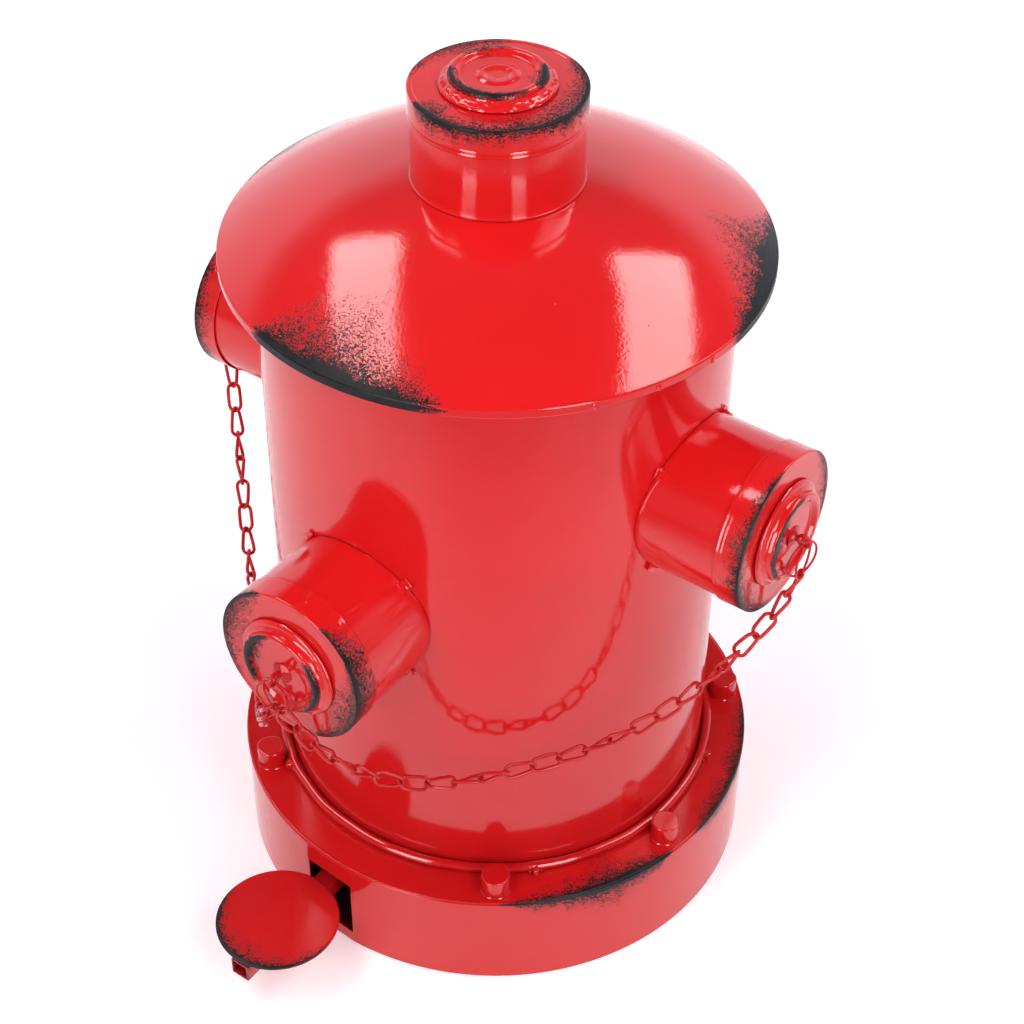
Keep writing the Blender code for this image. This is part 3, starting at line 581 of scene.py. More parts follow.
def base_sprays(edge):
    """The wear along the base's edge: in front, on the right, behind on the left, and behind."""
    rows = (
        ((37, 0, 1.5), (41, 2, 5), (48, 4, 9), (55, 6, 12), (62, 7, 14), (69, 6, 12), (74, 4, 9), (78, 0, 2)),
        ((85, 0, 1), (88, 2, 6), (93, 4, 9), (100, 5, 11), (108, 5, 11), (116, 4, 9), (124, 2, 6),
         (131, 0, 2)),
        ((-148, 0, 1), (-140, 2, 5), (-130, 3, 7), (-118, 2, 5), (-110, 0, 1)),
        ((160, 0, 1), (168, 2, 6), (178, 4, 8), (188, 2, 5), (196, 0, 1)),
    )
    return [spray(edge, row, bare=0.7, specks=1.35) for row in rows]


def hem_lumps(angles, radius, height, rim_radius, rim_top):
    """Small paint lumps along the hem, which is the outer few millimetres of the base's top."""
    if radius < rim_radius - 2.5 * MM or height < rim_top - 3.1 * MM:
        return np.zeros(len(angles))
    turns = np.radians(angles)
    values = [noise.noise(Vector((math.sin(t) * 40, math.cos(t) * 40, height * 300))) for t in turns]
    return np.array(values) * 0.1 * MM


def build_bolt(number):
    node = f"base_bolt_{number}"
    low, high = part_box(node)
    radius, rise = (high.x - low.x) / 2 * 1.01, high.z - low.z
    centre = Vector(((low.x + high.x) / 2, (low.y + high.y) / 2, low.z))
    head = outline(
        (0, -0.2 * MM),
        (radius + 0.9 * MM, -0.2 * MM, 0.2 * MM),
        (radius + 0.15 * MM, 0.6 * MM, 0.8 * MM),
        (radius, 2.4 * MM, 1.5 * MM),
        (radius - 0.1 * MM, rise, 1.2 * MM),
        (0, rise),
        step=2 * MM,
    )
    shape = uneven(lathe(head, 56), 0.25 * MM, 11 * MM, number * 3.3)
    add(f"bolt_{number}", moved(shape, Matrix.Translation(centre)), node)


# ---- body ----


def build_body():
    low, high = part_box("body_shell")
    radius = high.x
    crank_low, crank_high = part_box("lid_crank")
    half = 9.2 * MM
    x = (crank_low.x + crank_high.x) / 2
    edges = sorted(180 - math.degrees(math.asin(value / radius)) for value in (x - half, x + half))
    window = (edges[0], edges[1], crank_low.z - 8 * MM, high.z)
    heights = [*np.linspace(low.z, high.z, 60), *(low.z + k * MM for k in (1, 3, 5, 7))]
    # Sparse black specks up to about 10 mm above the body's foot: partly specks, partly painted shade where
    # the body meets the foot bead.
    foot = [(angle, 0, 7 + 3 * math.sin(angle / 19)) for angle in range(-170, 186, 15)]
    foot_specks_and_painted_shade = [spray(low.z, (), foot, density=0.22)]
    wall = tube_wall(radius, radius - SHEET, heights, np.arange(0, 360, 1.5), window, foot_specks_and_painted_shade)
    add("shell", wall, "body_shell")

    floor_low, floor_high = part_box("body_floor")
    hole = plate(*[floor_high.x] * 4, 2 * MM, floor_high.z - floor_low.z, squareness=2, sides=96)
    add("inner_floor", moved(hole, Matrix.Translation((0, 0, floor_low.z))), "body_floor")

    low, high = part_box("body_foot_bead")
    wire = 3.2 * MM
    ring = 146.6 * MM
    turns = np.linspace(0, 2 * math.pi, 15)[:-1]
    circle = [(ring + wire * math.cos(t), low.z + wire + wire * math.sin(t)) for t in turns]
    bead = [uneven(lathe(circle, 256), 0.7 * MM, 26 * MM, 4.0)]
    for number, angle in enumerate((-32, 46, 108, 160, -108)):
        turn = Matrix.Rotation(math.radians(angle), 4, "Z")
        corner = Vector((-2.2 * MM, -ring - wire - 3.4 * MM, low.z + 0.2 * MM))
        tab = block(corner, (2.2 * MM, -ring + 0.5 * MM, low.z + 5.4 * MM), 1.2 * MM)
        bead.append(moved(uneven(tab, 1.3 * MM, 3 * MM, number * 1.9), turn))
        for side in (-1, 1):
            spot = (side * 3.2 * MM, -ring - 1.5 * MM, low.z + 1.2 * MM)
            bead.append(moved(blob(spot, (2 * MM, 2.4 * MM, 1.6 * MM), number + side * 0.3, 0.5, 2), turn))
    add("foot_bead", joined(*bead), "body_foot_bead")


# ---- lid ----


def build_lid():
    low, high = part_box("lid_dome")
    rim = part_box("lid_rim_band")
    rim_radius, rim_low, rim_high = rim[1].x, rim[0].z, rim[1].z
    foot, top = high.x, high.z
    crown = 45.0 * MM
    rise = 8.3 * MM
    start, end = Vector((foot, low.z)), Vector((crown, top))
    chord = end - start
    reach = ((chord.length / 2) ** 2 + rise**2) / (2 * rise)
    outward = Vector((chord.y, -chord.x)).normalized()
    outward = outward if outward.y > 0 else -outward
    centre = (start + end) / 2 - outward * (reach - rise)
    first = math.atan2(start.y - centre.y, start.x - centre.x)
    last = math.atan2(end.y - centre.y, end.x - centre.x)
    turns = [first + (last - first) * i / 44 for i in range(45)]
    arc = lambda radius: [(centre.x + radius * math.cos(t), centre.y + radius * math.sin(t)) for t in turns]
    skin = arc(reach) + list(reversed(arc(reach - SHEET)))
    rows = (
        ((-20, 0, 3), (-16, 6, 22), (-9, 8, 35), (-3, 9, 36), (2, 9, 34), (8, 7, 31), (14, 5, 24),
         (20, 3, 16), (25, 0, 2)),
        ((89, 0, 1), (92, 2, 6), (96, 7, 15), (101, 11, 19), (106, 15, 26), (112, 18, 29), (119, 16, 31),
         (126, 10, 24), (131, 4, 14), (135, 0, 3)),
        ((-76, 0, 1), (-84, 1.5, 9), (-92, 3, 14), (-100, 3.5, 18), (-108, 3, 18), (-118, 1, 12),
         (-126, 0, 1)),
        ((-180, 0, 1), (-172, 2, 8), (-160, 4, 12), (-150, 2, 9), (-143, 0, 1)),
    )
    sprays = [spray(skin[0], row, bare=0.85, specks=1.25, density=0.8) for row in rows]
    add("dome", lathe(skin, 360, sprays), "lid_dome")

    inside = rim_radius - 1.6 * MM
    band = outline(
        (inside, rim_low),
        (rim_radius - 0.3 * MM, rim_low, 0.3 * MM),
        (rim_radius, rim_low + 0.7 * MM, 0.4 * MM),
        (rim_radius, low.z - 0.9 * MM, 0.6 * MM),
        (rim_radius - 0.8 * MM, low.z + 0.15 * MM, 0.5 * MM),
        (inside, low.z - 0.2 * MM),
        step=1.5 * MM,
    )
    edge = (rim_radius, rim_high - 2 * MM)
    rows = (
        ((-20, 0, 2), (-17, 5, 9), (0, 9, 12), (16, 7, 10), (22, 2, 7), (26, 0, 2)),
        ((89, 0, 1), (91, 4, 8), (96, 9, 12), (130, 9, 12), (134, 3, 8), (137, 0, 2)),
        ((-86, 0, 1), (-90, 1, 4), (-105, 2, 6), (-120, 0, 1)),
        ((-180, 0, 1), (-170, 2, 6), (-150, 2, 5), (-143, 0, 1)),
    )
    sprays = [spray(edge, row) for row in rows]
    parts = [lathe(band, 360, sprays)]
    for number, angle in enumerate((54.5, 68, 82, -44, -140, 167)):
        turn = Matrix.Rotation(math.radians(angle), 4, "Z")
        spot = (0, -rim_radius - 0.1 * MM, rim_high - 2.6 * MM)
        parts.append(moved(blob(spot, (1.7 * MM, 0.9 * MM, 2.1 * MM), number * 1.7, 0.4), turn))
    add("rim_band", joined(*parts), "lid_rim_band")

    low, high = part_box("lid_neck")
    radius = high.x
    neck = outline(
        (radius - SHEET, low.z),
        (radius + 1.1 * MM, low.z, 0.2 * MM),
        (radius + 0.2 * MM, low.z + 0.7 * MM, 0.8 * MM),
        (radius, low.z + 3 * MM),
        (radius, high.z),
        (radius - SHEET, high.z),
    )
    add("neck", uneven(lathe(neck, 192), 0.12 * MM, 30 * MM, 8.0), "lid_neck")
    low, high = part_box("lid_neck_cap")
    down = ((-31, 0, 1), (-27, 2, 5), (-15, 4, 8), (0, 5, 9), (20, 4, 8), (40, 2, 6), (55, 1, 4), (70, 3, 7),
            (90, 5, 9), (115, 5, 9), (140, 3, 7), (160, 0, 1))
    inwards = ((-31, 0, 2), (-27, 4, 9), (-15, 5.5, 11), (-5, 4, 10), (5, 2, 9), (20, 1.5, 10), (40, 1.5, 11),
               (55, 2, 13), (70, 3, 16), (85, 4, 18), (100, 5, 16), (115, 5, 12), (130, 4.5, 9), (145, 4, 7),
               (156, 2, 5), (163, 0, 2))
    back = ((-62, 0, 1), (-70, 1, 3), (-90, 2, 6), (-110, 3, 11), (-125, 2.5, 14), (-140, 1.5, 11),
            (-152, 0, 3))
    edge = (high.x, high.z)
    sprays = [
        spray(edge, down, inwards, bare=0.6, specks=1.45, density=0.9),
        spray(edge, [(angle, bare / 2, specks / 2) for angle, bare, specks in back], back, 0.6, 1.45, 0.75),
    ]
    add("neck_cap", cap_shape(high.x, low.z, high.z, sprays, 0.25 * MM), "lid_neck_cap")
    low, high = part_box("lid_boss")
    rows = (
        ((-66, 0, 1), (-56, 3, 5.5), (-30, 2.5, 5), (0, 3, 6.5), (30, 3.2, 6.5), (55, 1.5, 4.5),
         (72, 0, 1.5)),
        ((86, 0, 1), (94, 4, 7), (115, 5.5, 8), (135, 4, 7), (145, 0, 2)),
        ((-160, 0, 2), (-140, 0.3, 6), (-115, 0.3, 6), (-95, 0, 2)),
    )
    sprays = [spray((high.x - 1.5 * MM, high.z), row, bare=0.55, specks=1.35) for row in rows]
    add("top_boss", boss_shape(high.x, low.z, high.z, sprays, dimples=True), "lid_boss")
    add("top_weld", weld_shape("lid_weld_bead", 0.7 * MM), "lid_weld_bead")


def cap_shape(radius, seam, face, sprays, lip=0.1 * MM):
    """A cup pushed over a tube's end, with a lip at its seam."""
    wall = 0.7 * MM
    line = outline(
        (0, face - SHEET),
        (radius - wall, face - SHEET),
        (radius - wall, seam),
        (radius - 0.1 * MM, seam, 0.2 * MM),
        (radius - 0.1 * MM + lip, seam + 0.7 * MM, 0.5 * MM),
        (radius - 0.1 * MM, seam + 2 * MM, 0.8 * MM),
        (radius - 0.1 * MM + 0.6 * lip, seam + 3.2 * MM, 0.8 * MM),
        (radius - 0.1 * MM, seam + 4.4 * MM, 1 * MM),
        (radius - 0.1 * MM, face - 2 * MM),
        (radius, face, 1.1 * MM),
        (radius - 3 * MM, face, 0.5 * MM),
        (radius - 3.6 * MM, face - 0.25 * MM, 0.8 * MM),
        (0, face - 0.25 * MM),
        step=2.5 * MM,
    )
    return lathe(line, 192, sprays)


def boss_shape(radius, foot, top, sprays, dimples=False):
    """The pressed disc on a cap, with a raised rim round a shallow recess."""
    recess = top - 2.7 * MM
    corners = [
        (0, foot),
        (radius, foot),
        (radius, foot + 3 * MM),
        (radius - 0.7 * MM, top, 1.7 * MM),
        (radius - 4.6 * MM, top, 1.6 * MM),
        (radius - 7.0 * MM, recess, 1.8 * MM),
    ]
    if dimples:
        corners += [
            (12.5 * MM, recess - 0.1 * MM, 1.5 * MM),
            (10.3 * MM, recess + 0.75 * MM, 1.5 * MM),
            (8.2 * MM, recess + 0.75 * MM, 1.5 * MM),
            (6.2 * MM, recess + 0.1 * MM, 1 * MM),
            (4.2 * MM, recess, 1 * MM),
        ]
    corners.append((0, recess))
    return lathe(outline(*corners, step=1.5 * MM), 160, sprays)


def weld_shape(node, lumps, seed=0.0):
    """The paint-filled weld round a boss's foot, lumpy or nearly smooth. It lies in XY at its height."""
    low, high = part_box(node)
    size = high - low
    thin = min(range(3), key=lambda axis: size[axis])
    wire = size[thin] / 2
    ring = max(size) / 2 - wire
    foot = min(abs(low[thin]), abs(high[thin]))
    section = ((-3.2, 0), (2, 0), (1.9, 0.6), (1.3, 1.5), (0.3, 2), (-0.8, 2.1), (-1.8, 2.4), (-2.7, 3.4),
               (-3.2, 4.4))
    rings = []
    sides = 420
    for k in range(sides):
        turn = 2 * math.pi * k / sides
        spot = Vector((math.sin(turn), -math.cos(turn), 0))
        row = []
        for i, (reach, rise) in enumerate(section):
            radius, height = ring + reach * MM, rise * MM
            if 1 < i < len(section) - 1:
                fine = noise.noise(spot * 12 + Vector((seed, i * 0.5, 0)))
                beads = noise.noise(spot * 7 + Vector((i * 0.25, seed, 9)))
                radius += lumps * (0.75 * fine + 0.5 * beads)
                height += lumps * (0.9 * beads - 0.5 * fine)
            row.append(spot * radius + Vector((0, 0, foot + max(height, 0))))
        rings.append(row)
    return loft(rings, closed_rows=True)


# ---- hinge and lifting gear ----


def turned_x(shape, x, y, z):
    """Lays a shape made along Z down along +X, from this point."""
    return moved(shape, Matrix.Translation((x, y, z)) @ ABOUT_Y)


def pin_shape(length, radius):
    """A rivet with domed ends, along Z from 0."""
    head = radius * 1.25
    line = outline(
        (0, 0),
        (head, 0, 0.7 * radius),
        (head, 0.8 * radius, 0.4 * radius),
        (radius, 0.85 * radius),
        (radius, length - 0.85 * radius),
        (head, length - 0.8 * radius, 0.4 * radius),
        (head, length, 0.7 * radius),
        (0, length),
        step=3 * MM,
    )
    return lathe(line, 32)


def build_hinge():
    pin_low, pin_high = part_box("hinge_pin")
    y, z = (pin_low.y + pin_high.y) / 2, (pin_low.z + pin_high.z) / 2
    low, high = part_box("hinge_bracket")
    crank_low, crank_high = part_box("lid_crank")
    thickness = 2 * MM
    ears = []
    for x in (low.x, high.x - thickness):
        ear = plate(z - low.z - 11 * MM, high.z - z, y - low.y - 0.4 * MM, high.y - y, 2.85 * MM, thickness)
        ears.append(turned_x(ear, x, y, z))
    gap_left, gap_right = crank_low.x - 4 * MM, crank_high.x + 4 * MM
    sheets = [
        block((low.x, low.y + 0.2 * MM, low.z), (high.x, low.y + 1.6 * MM, crank_low.z - 8 * MM)),
        block((low.x, low.y + 0.2 * MM, crank_low.z - 9.5 * MM), (gap_left, low.y + 1.6 * MM, high.z)),
        block((gap_right, low.y + 0.2 * MM, crank_low.z - 9.5 * MM), (high.x, low.y + 1.6 * MM, high.z)),
    ]
    rivets = []
    for x in (low.x + 8 * MM, high.x - 8 * MM):
        rivets.append(blob((x, low.y + 1.6 * MM, low.z + 7 * MM), (3 * MM, 1.2 * MM, 3 * MM), x * 900, 0.05))
    add("hinge_plate", joined(*ears, *sheets, *rivets), "hinge_bracket")
    pin = pin_shape(pin_high.x - pin_low.x, (pin_high.z - pin_low.z) / 2)
    add("hinge_rivet", turned_x(pin, pin_low.x, y, z), "hinge_pin")

    low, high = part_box("lid_hinge_strap")
    hole, skin, width = 2.8 * MM, 4.3 * MM, high.x - low.x
    barrel = outline((hole, 0), (skin, 0, 0.3 * MM), (skin, width, 0.3 * MM), (hole, width))
    parts = [turned_x(lathe(barrel, 40), low.x, y, z)]
    leaf = []
    section = [
        (y - 3.2 * MM, z + 2.8 * MM), (y - 4.3 * MM, z + 4.4 * MM), (low.y + 1.4 * MM, high.z - 4.2 * MM),
        (low.y, high.z - 1.2 * MM), (low.y + 1 * MM, high.z - 0.3 * MM), (y, high.z - 3.4 * MM),
        (y + 4 * MM, high.z - 5.6 * MM), (y + 4.2 * MM, z + 1 * MM), (y + 3 * MM, z + 3 * MM),
    ]
    for x in (low.x, low.x + 0.4 * MM, high.x - 0.4 * MM, high.x):
        centre = Vector((x, y, high.z - 4 * MM))
        shrink = 1 / 30 if x in (low.x, high.x) else 0
        leaf.append([Vector((x, v, w)).lerp(centre, shrink) for v, w in section])
    parts.append(loft(leaf, caps=True))
    add("hinge_strap", joined(*parts), "lid_hinge_strap")
    add("crank", block(crank_low, crank_high, 1.2 * MM), "lid_crank")

    low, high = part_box("push_rod")
    radius = (high.x - low.x) / 2
    ends = (radius, low.z, 0.8 * MM), (radius, high.z, 0.8 * MM)
    rod = outline((0, low.z), *ends, (0, high.z), step=12 * MM)
    centre = Vector(((low.x + high.x) / 2, (low.y + high.y) / 2, 0))
    add("lift_rod", moved(lathe(rod, 24), Matrix.Translation(centre)), "push_rod")
    for name in ("lower_rod_guide", "upper_rod_guide"):
        low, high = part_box(name)
        reaches = centre.x - low.x, high.x - centre.x, centre.y - low.y, high.y - centre.y
        guide = plate(*reaches, 3.15 * MM, high.z - low.z)
        add(name + "_plate", moved(guide, Matrix.Translation((centre.x, centre.y, low.z))), name)


def build_pedal():
    low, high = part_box("pedal_disc")
    radius = (high.x - low.x) / 2
    centre = Vector(((low.x + high.x) / 2, (low.y + high.y) / 2, low.z))
    rise = high.z - low.z
    line = outline(
        (0, 0),
        (radius - 0.6 * MM, 0, 0.4 * MM),
        (radius, 0.8 * MM, 0.5 * MM),
        (radius, rise - 0.4 * MM, 0.5 * MM),
        (radius - 1.2 * MM, rise, 0.8 * MM),
        (0, rise - 0.1 * MM),
        step=2 * MM,
    )
    row = ((-97, 0, 1), (-82, 1.5, 5), (-62, 3, 9), (-40, 4, 13), (-20, 4, 16), (0, 4, 17), (20, 3, 16),
           (40, 2, 12), (60, 1.5, 9), (80, 0.5, 4), (97, 0, 1))
    disc = lathe(line, 180, [spray((radius, rise - 0.3 * MM), row, density=0.6)])
    add("pedal_plate", moved(disc, Matrix.Translation(centre)), "pedal_disc", finish=SATIN)

    low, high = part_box("pedal_lever")
    x, z = (low.x + high.x) / 2, (low.z + high.z) / 2
    half = (high.x - low.x) / 2

    def square(size, y, rounding):
        ring = []
        for corner in range(4):
            for step in range(5):
                turn = math.radians(90 * corner + 22.5 * step)
                right = (size - rounding) * (1 if corner in (0, 3) else -1) + rounding * math.cos(turn)
                up = (size - rounding) * (1 if corner in (0, 1) else -1) + rounding * math.sin(turn)
                ring.append(Vector((x + right, y, z + up)))
        return ring

    wall = 1.5 * MM
    stations = [low.y + 0.3 * MM + (high.y - low.y - 0.6 * MM) * i / 40 for i in range(41)]
    rings = [square(half - 0.3 * MM, low.y, 1.1 * MM)] + [square(half, y, 1.4 * MM) for y in stations]
    rings += [square(half - 0.3 * MM, high.y, 1.1 * MM)]
    rings += [square(half - wall, y, 0.5 * MM) for y in (high.y, low.y)]
    points, faces, wear = loft(rings, closed_rows=True)
    from_end = points[:, 1] - low.y
    corners = abs(points[:, 0] - x) + abs(points[:, 2] - z) > 1.9 * half
    wear = 0.55 * np.clip(1 - from_end / (9 * MM), 0, 1) + 0.5 * corners * (from_end < 60 * MM)
    add("lever", (points, faces, wear), "pedal_lever")


# ---- bucket ----


def build_bucket():
    low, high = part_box("bucket")
    top = high.x
    wall = 1.5 * MM
    bottom_radius = 112 * MM
    line = outline(
        (0, low.z + 0.6 * MM),
        (bottom_radius - 6 * MM, low.z + 0.6 * MM, 1 * MM),
        (bottom_radius - 5 * MM, low.z, 0.5 * MM),
        (bottom_radius, low.z, 3 * MM),
        (top - 2 * MM, high.z - 4 * MM, 0.5 * MM),
        (top, high.z - 4.2 * MM, 0.5 * MM),
        (top, high.z, 1 * MM),
        (top - 2 * MM - wall, high.z, 1 * MM),
        (bottom_radius - wall, low.z + 2 * MM, 5 * MM),
        (28 * MM, low.z + 2 * MM, 1 * MM),
        (26 * MM, low.z + 2.5 * MM, 1 * MM),
        (0, low.z + 2.5 * MM),
        step=7 * MM,
    )
    add("liner", lathe(line, 192), "bucket")
    bail_low, bail_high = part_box("bucket_bail")
    wire = (bail_high.z - bail_low.z) / 2
    z = (bail_high.z + bail_low.z) / 2
    for side in ("right", "left"):
        node = side + "_bucket_ear"
        low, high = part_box(node)
        ear = plate(z - low.z, high.z - z, -low.y, high.y, wire + 0.6 * MM, high.x - low.x, squareness=6)
        add(side + "_ear", turned_x(ear, low.x, 0, z), node)
    reach = bail_high.x - wire * 1.05
    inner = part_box("right_bucket_ear")[0].x + 0.1 * MM
    path = [Vector((inner + step * MM, 0, z)) for step in (0, 1, 2)]
    for k in range(1, 48):
        turn = math.pi * k / 48
        path.append(Vector((reach * math.cos(turn), -reach * math.sin(turn), z)))
    path += [Vector((-inner - step * MM, 0, z)) for step in (2, 1, 0)]
    bow = sweep(path, wire, 12, side=(0, 0, 1))
    grip = sweep(path[23:31], 2.2 * MM, 16, side=(0, 0, 1))
    add("bail_wire", joined(bow, grip), "bucket_bail")


# ---- outlets ----

CLOCK_TABS = (45, 135, 225, 315)
# For each outlet: the wear from the cap's edge, along its side and across its face, and the wear from the
# boss's rim, outwards and inwards.
OUTLET_WEAR = {
    "front": {
        "cap": [
            (((228, 0, 1), (245, 1, 3), (285, 2, 5), (325, 2, 4), (338, 0, 1)),
             ((228, 0, 1), (238, 0.5, 5), (255, 2, 10), (270, 3, 13), (285, 4, 15), (300, 5, 15),
              (315, 5, 12), (328, 4, 8), (338, 0, 2))),
            (((30, 0, 1), (40, 4, 11), (55, 7, 20), (70, 9, 22), (90, 9, 22), (105, 6, 19), (120, 3, 12),
              (138, 0, 3)),
             ((58, 0, 1), (75, 1.5, 7), (90, 3, 16), (105, 4, 20), (120, 3.5, 17), (135, 2, 12), (150, 1, 8),
              (164, 0, 2))),
        ],
        "boss": [
            (((228, 0, 0.5), (290, 0.7, 1.5), (345, 0, 0.5)),
             ((228, 0, 1), (238, 5, 6.5), (265, 7.5, 9), (290, 8, 9.5), (315, 6.5, 8), (335, 3, 5),
              (347, 0, 1.5))),
            (((42, 0, 1), (60, 1.5, 4), (85, 3, 7), (110, 2, 5), (140, 0, 2)),
             ((42, 0, 1), (60, 2, 5), (85, 3, 6), (110, 3, 6), (130, 2, 5), (147, 0, 1.5))),
        ],
    },
    "right": {
        "cap": [
            (((200, 0, 2), (220, 2, 5), (240, 3, 6.5), (265, 4, 8), (290, 3.5, 8), (315, 2.5, 6),
              (335, 1.5, 4.5), (352, 0, 1)),
             ((186, 0, 2), (200, 3, 7), (215, 5, 10), (230, 5, 11), (255, 4, 10), (280, 3.5, 9), (300, 3, 8),
              (320, 3, 7), (340, 2, 5), (353, 0, 1))),
            (((40, 0, 1), (80, 1, 3), (135, 0, 1)),
             ((38, 0, 2), (60, 0.5, 8), (80, 0.8, 11), (100, 0.8, 10), (120, 0.5, 6), (137, 0, 1))),
        ],
        "boss": [
            (((228, 0, 0.5), (290, 0.5, 1.2), (370, 0, 0.5)),
             ((228, 0, 1.5), (238, 8, 10), (255, 13, 14), (275, 17, 16), (300, 18, 17), (320, 16, 15.5),
              (340, 12, 13), (360, 7, 9), (373, 0, 1))),
        ],
    },
    "left": {
        "cap": [
            (((20, 0, 1), (40, 2, 6), (70, 4, 9), (100, 5, 10), (130, 5, 9), (155, 3, 7), (172, 0, 1)),
             ((20, 0, 1), (40, 1, 5), (70, 2, 9), (100, 3, 10), (130, 3, 8), (155, 2, 6), (172, 0, 1))),
            (((215, 0, 1), (250, 3, 7), (280, 3, 7), (310, 0, 2)),
             ((215, 0, 1), (240, 3, 9), (270, 4, 11), (295, 3, 8), (312, 0, 2))),
        ],
        "boss": [
            (((50, 0, 0.5), (100, 1, 2), (160, 0, 0.5)),
             ((50, 0, 1), (70, 4, 6), (105, 7, 9), (140, 5, 7), (162, 0, 1))),
            (((230, 0, 1), (265, 2, 4), (300, 0, 1)),
             ((230, 0, 1), (250, 2, 5), (280, 3, 5), (302, 0, 1))),
        ],
    },
}


def build_outlet(side, outward):
    """One capped outlet, made with Z outwards, -Y upwards and +X to the right as one faces it."""
    outward = Vector(outward)
    low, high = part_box(f"{side}_nozzle_cap")
    axis = max(range(3), key=lambda i: abs(outward[i]))
    height = (low.z + high.z) / 2
    across = Vector((0, 0, 1)).cross(outward)
    place = Matrix((across, Vector((0, 0, -1)), outward)).transposed().to_4x4()
    place.translation = Vector((0, 0, height))
    along = lambda node, pick: pick(abs(corner[axis]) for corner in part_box(node))
    cap_radius = (high.z - low.z) / 2
    seam, face = along(f"{side}_nozzle_cap", min), along(f"{side}_nozzle_cap", max)
    wear = OUTLET_WEAR[side]

    barrel = barrel_shape(cap_radius - 1.3 * MM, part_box("body_shell")[1].x, face - 1.4 * MM)
    add(f"{side}_barrel", moved(barrel, place), f"{side}_nozzle_barrel")
    sprays = [spray((cap_radius, face), *rows, bare=0.45, specks=1.35, density=0.9) for rows in wear["cap"]]
    add(f"{side}_cap", moved(cap_shape(cap_radius, seam, face, sprays), place), f"{side}_nozzle_cap")

    foot, top = along(f"{side}_nozzle_boss", min), along(f"{side}_nozzle_boss", max)
    low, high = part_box(f"{side}_nozzle_boss")
    boss_radius = (high.z - low.z) / 2
    rim = (boss_radius - 1.5 * MM, top)
    sprays = [spray(rim, *rows, bare=0.8, specks=1.25, density=0.9) for rows in wear["boss"]]
    add(f"{side}_boss", moved(boss_shape(boss_radius, foot, top, sprays), place), f"{side}_nozzle_boss")
    bead = weld_shape(f"{side}_nozzle_weld_bead", 0.22 * MM, height * 31)
    add(f"{side}_weld", moved(bead, place), f"{side}_nozzle_weld_bead")

    reach = along(f"{side}_nozzle_eyelet", max) - 4.7 * MM
    recess = top - 2.7 * MM
    loop_radius, wire = 4.0 * MM, 1.15 * MM
    loop = []
    for k in range(33):
        turn = math.radians(-160 + 320 * k / 32)
        loop.append(Vector((0, -loop_radius * math.sin(turn) * 0.95, reach + loop_radius * math.cos(turn))))
    stem = [Vector((0, 0.9 * MM, recess - 0.5 * MM)), Vector((0, 0.8 * MM, recess + 1.5 * MM))]
    other = [Vector((0, -p.y, p.z)) for p in reversed(stem)]
    hook = sweep(stem + loop + other, wire, 12, side=(1, 0, 0))
    collar = outline(
        (0, recess + 0.1 * MM),
        (7.5 * MM, recess + 0.1 * MM, 0.5 * MM),
        (4.6 * MM, recess + 1.5 * MM, 1.6 * MM),
        (2.6 * MM, recess + 2.6 * MM, 1 * MM),
        (0, recess + 3 * MM),
        step=1 * MM,
    )
    lump = uneven(lathe(collar, 40), 0.9 * MM, 4 * MM, height * 77)
    add(f"{side}_eyelet", moved(joined(hook, lump), place), f"{side}_nozzle_eyelet")


def barrel_shape(radius, body_radius, far):
    """A short tube whose root follows the body's round wall, with four small straps over the joint."""
    sides = 160
    root = body_radius + 0.6 * MM
    stations = [0, 0.012, 0.05, 0.12, 0.25, 0.4, 0.55, 0.7, 0.85, 1]
    rings = []
    for layer, order in ((0, stations), (SHEET, stations[::-1])):
        for share in order:
            ring = []
            for k in range(sides):
                turn = 2 * math.pi * k / sides
                r = radius - layer
                x, y = r * math.sin(turn), -r * math.cos(turn)
                near = math.sqrt(root**2 - x**2)
                tuck = 0.35 * MM if share == 0 and layer == 0 else 0
                ring.append(Vector((x * (1 - tuck / r), y * (1 - tuck / r), near + (far - near) * share)))
            rings.append(ring)
    parts = [loft(rings, closed_rows=True)]
    for number, clock in enumerate(CLOCK_TABS):
        turn = math.radians(clock)
        x, y = radius * math.sin(turn), -radius * math.cos(turn)
        depth = math.sqrt(root**2 - x**2)
        spin = Matrix.Translation((x, y, depth)) @ Matrix.Rotation(turn, 4, "Z")
        strap = block((-3 * MM, -1.3 * MM, -0.5 * MM), (3 * MM, 0.4 * MM, 5.5 * MM), 0.6 * MM)
        foot = block((-3 * MM, -4.2 * MM, -0.6 * MM), (3 * MM, 0.2 * MM, 0.7 * MM), 0.5 * MM)
        tab = uneven(joined(strap, foot), 0.7 * MM, 3 * MM, number * 2.7)
        drop = blob((2.4 * MM, -1.4 * MM, 0.8 * MM), (1.6 * MM, 1.1 * MM, 1.3 * MM), number * 3.1, 0.5, 2)
        parts += [moved(tab, spin), moved(drop, spin)]
    return joined(*parts)


# ---- rings and chains ----


def split_ring(side, outward):
    """Two coils of springy wire which part a little between the eyelet and the chain."""
    low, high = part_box(f"{side}_nozzle_ring")
    centre = (low + high) / 2
    radius = (high.z - low.z) / 2 - 0.9 * MM
    outward = Vector(outward)
    across = Vector((0, 0, 1)).cross(outward)
    path = []
    steps = 112
    for k in range(steps + 1):
        turn = math.radians(8 + 700 * k / steps)
        splay = math.radians(15 if k < steps / 2 else -9)
        sideways = across * math.cos(splay) + outward * math.sin(splay)
        lift = outward * (0.62 * MM * (2 * k / steps - 1))
        path.append(centre + radius * (Vector((0, 0, math.cos(turn))) + sideways * math.sin(turn)) + lift)
    add(f"{side}_split_ring", sweep(path, 0.72 * MM, 10, side=(0, 0, 1)), f"{side}_nozzle_ring")


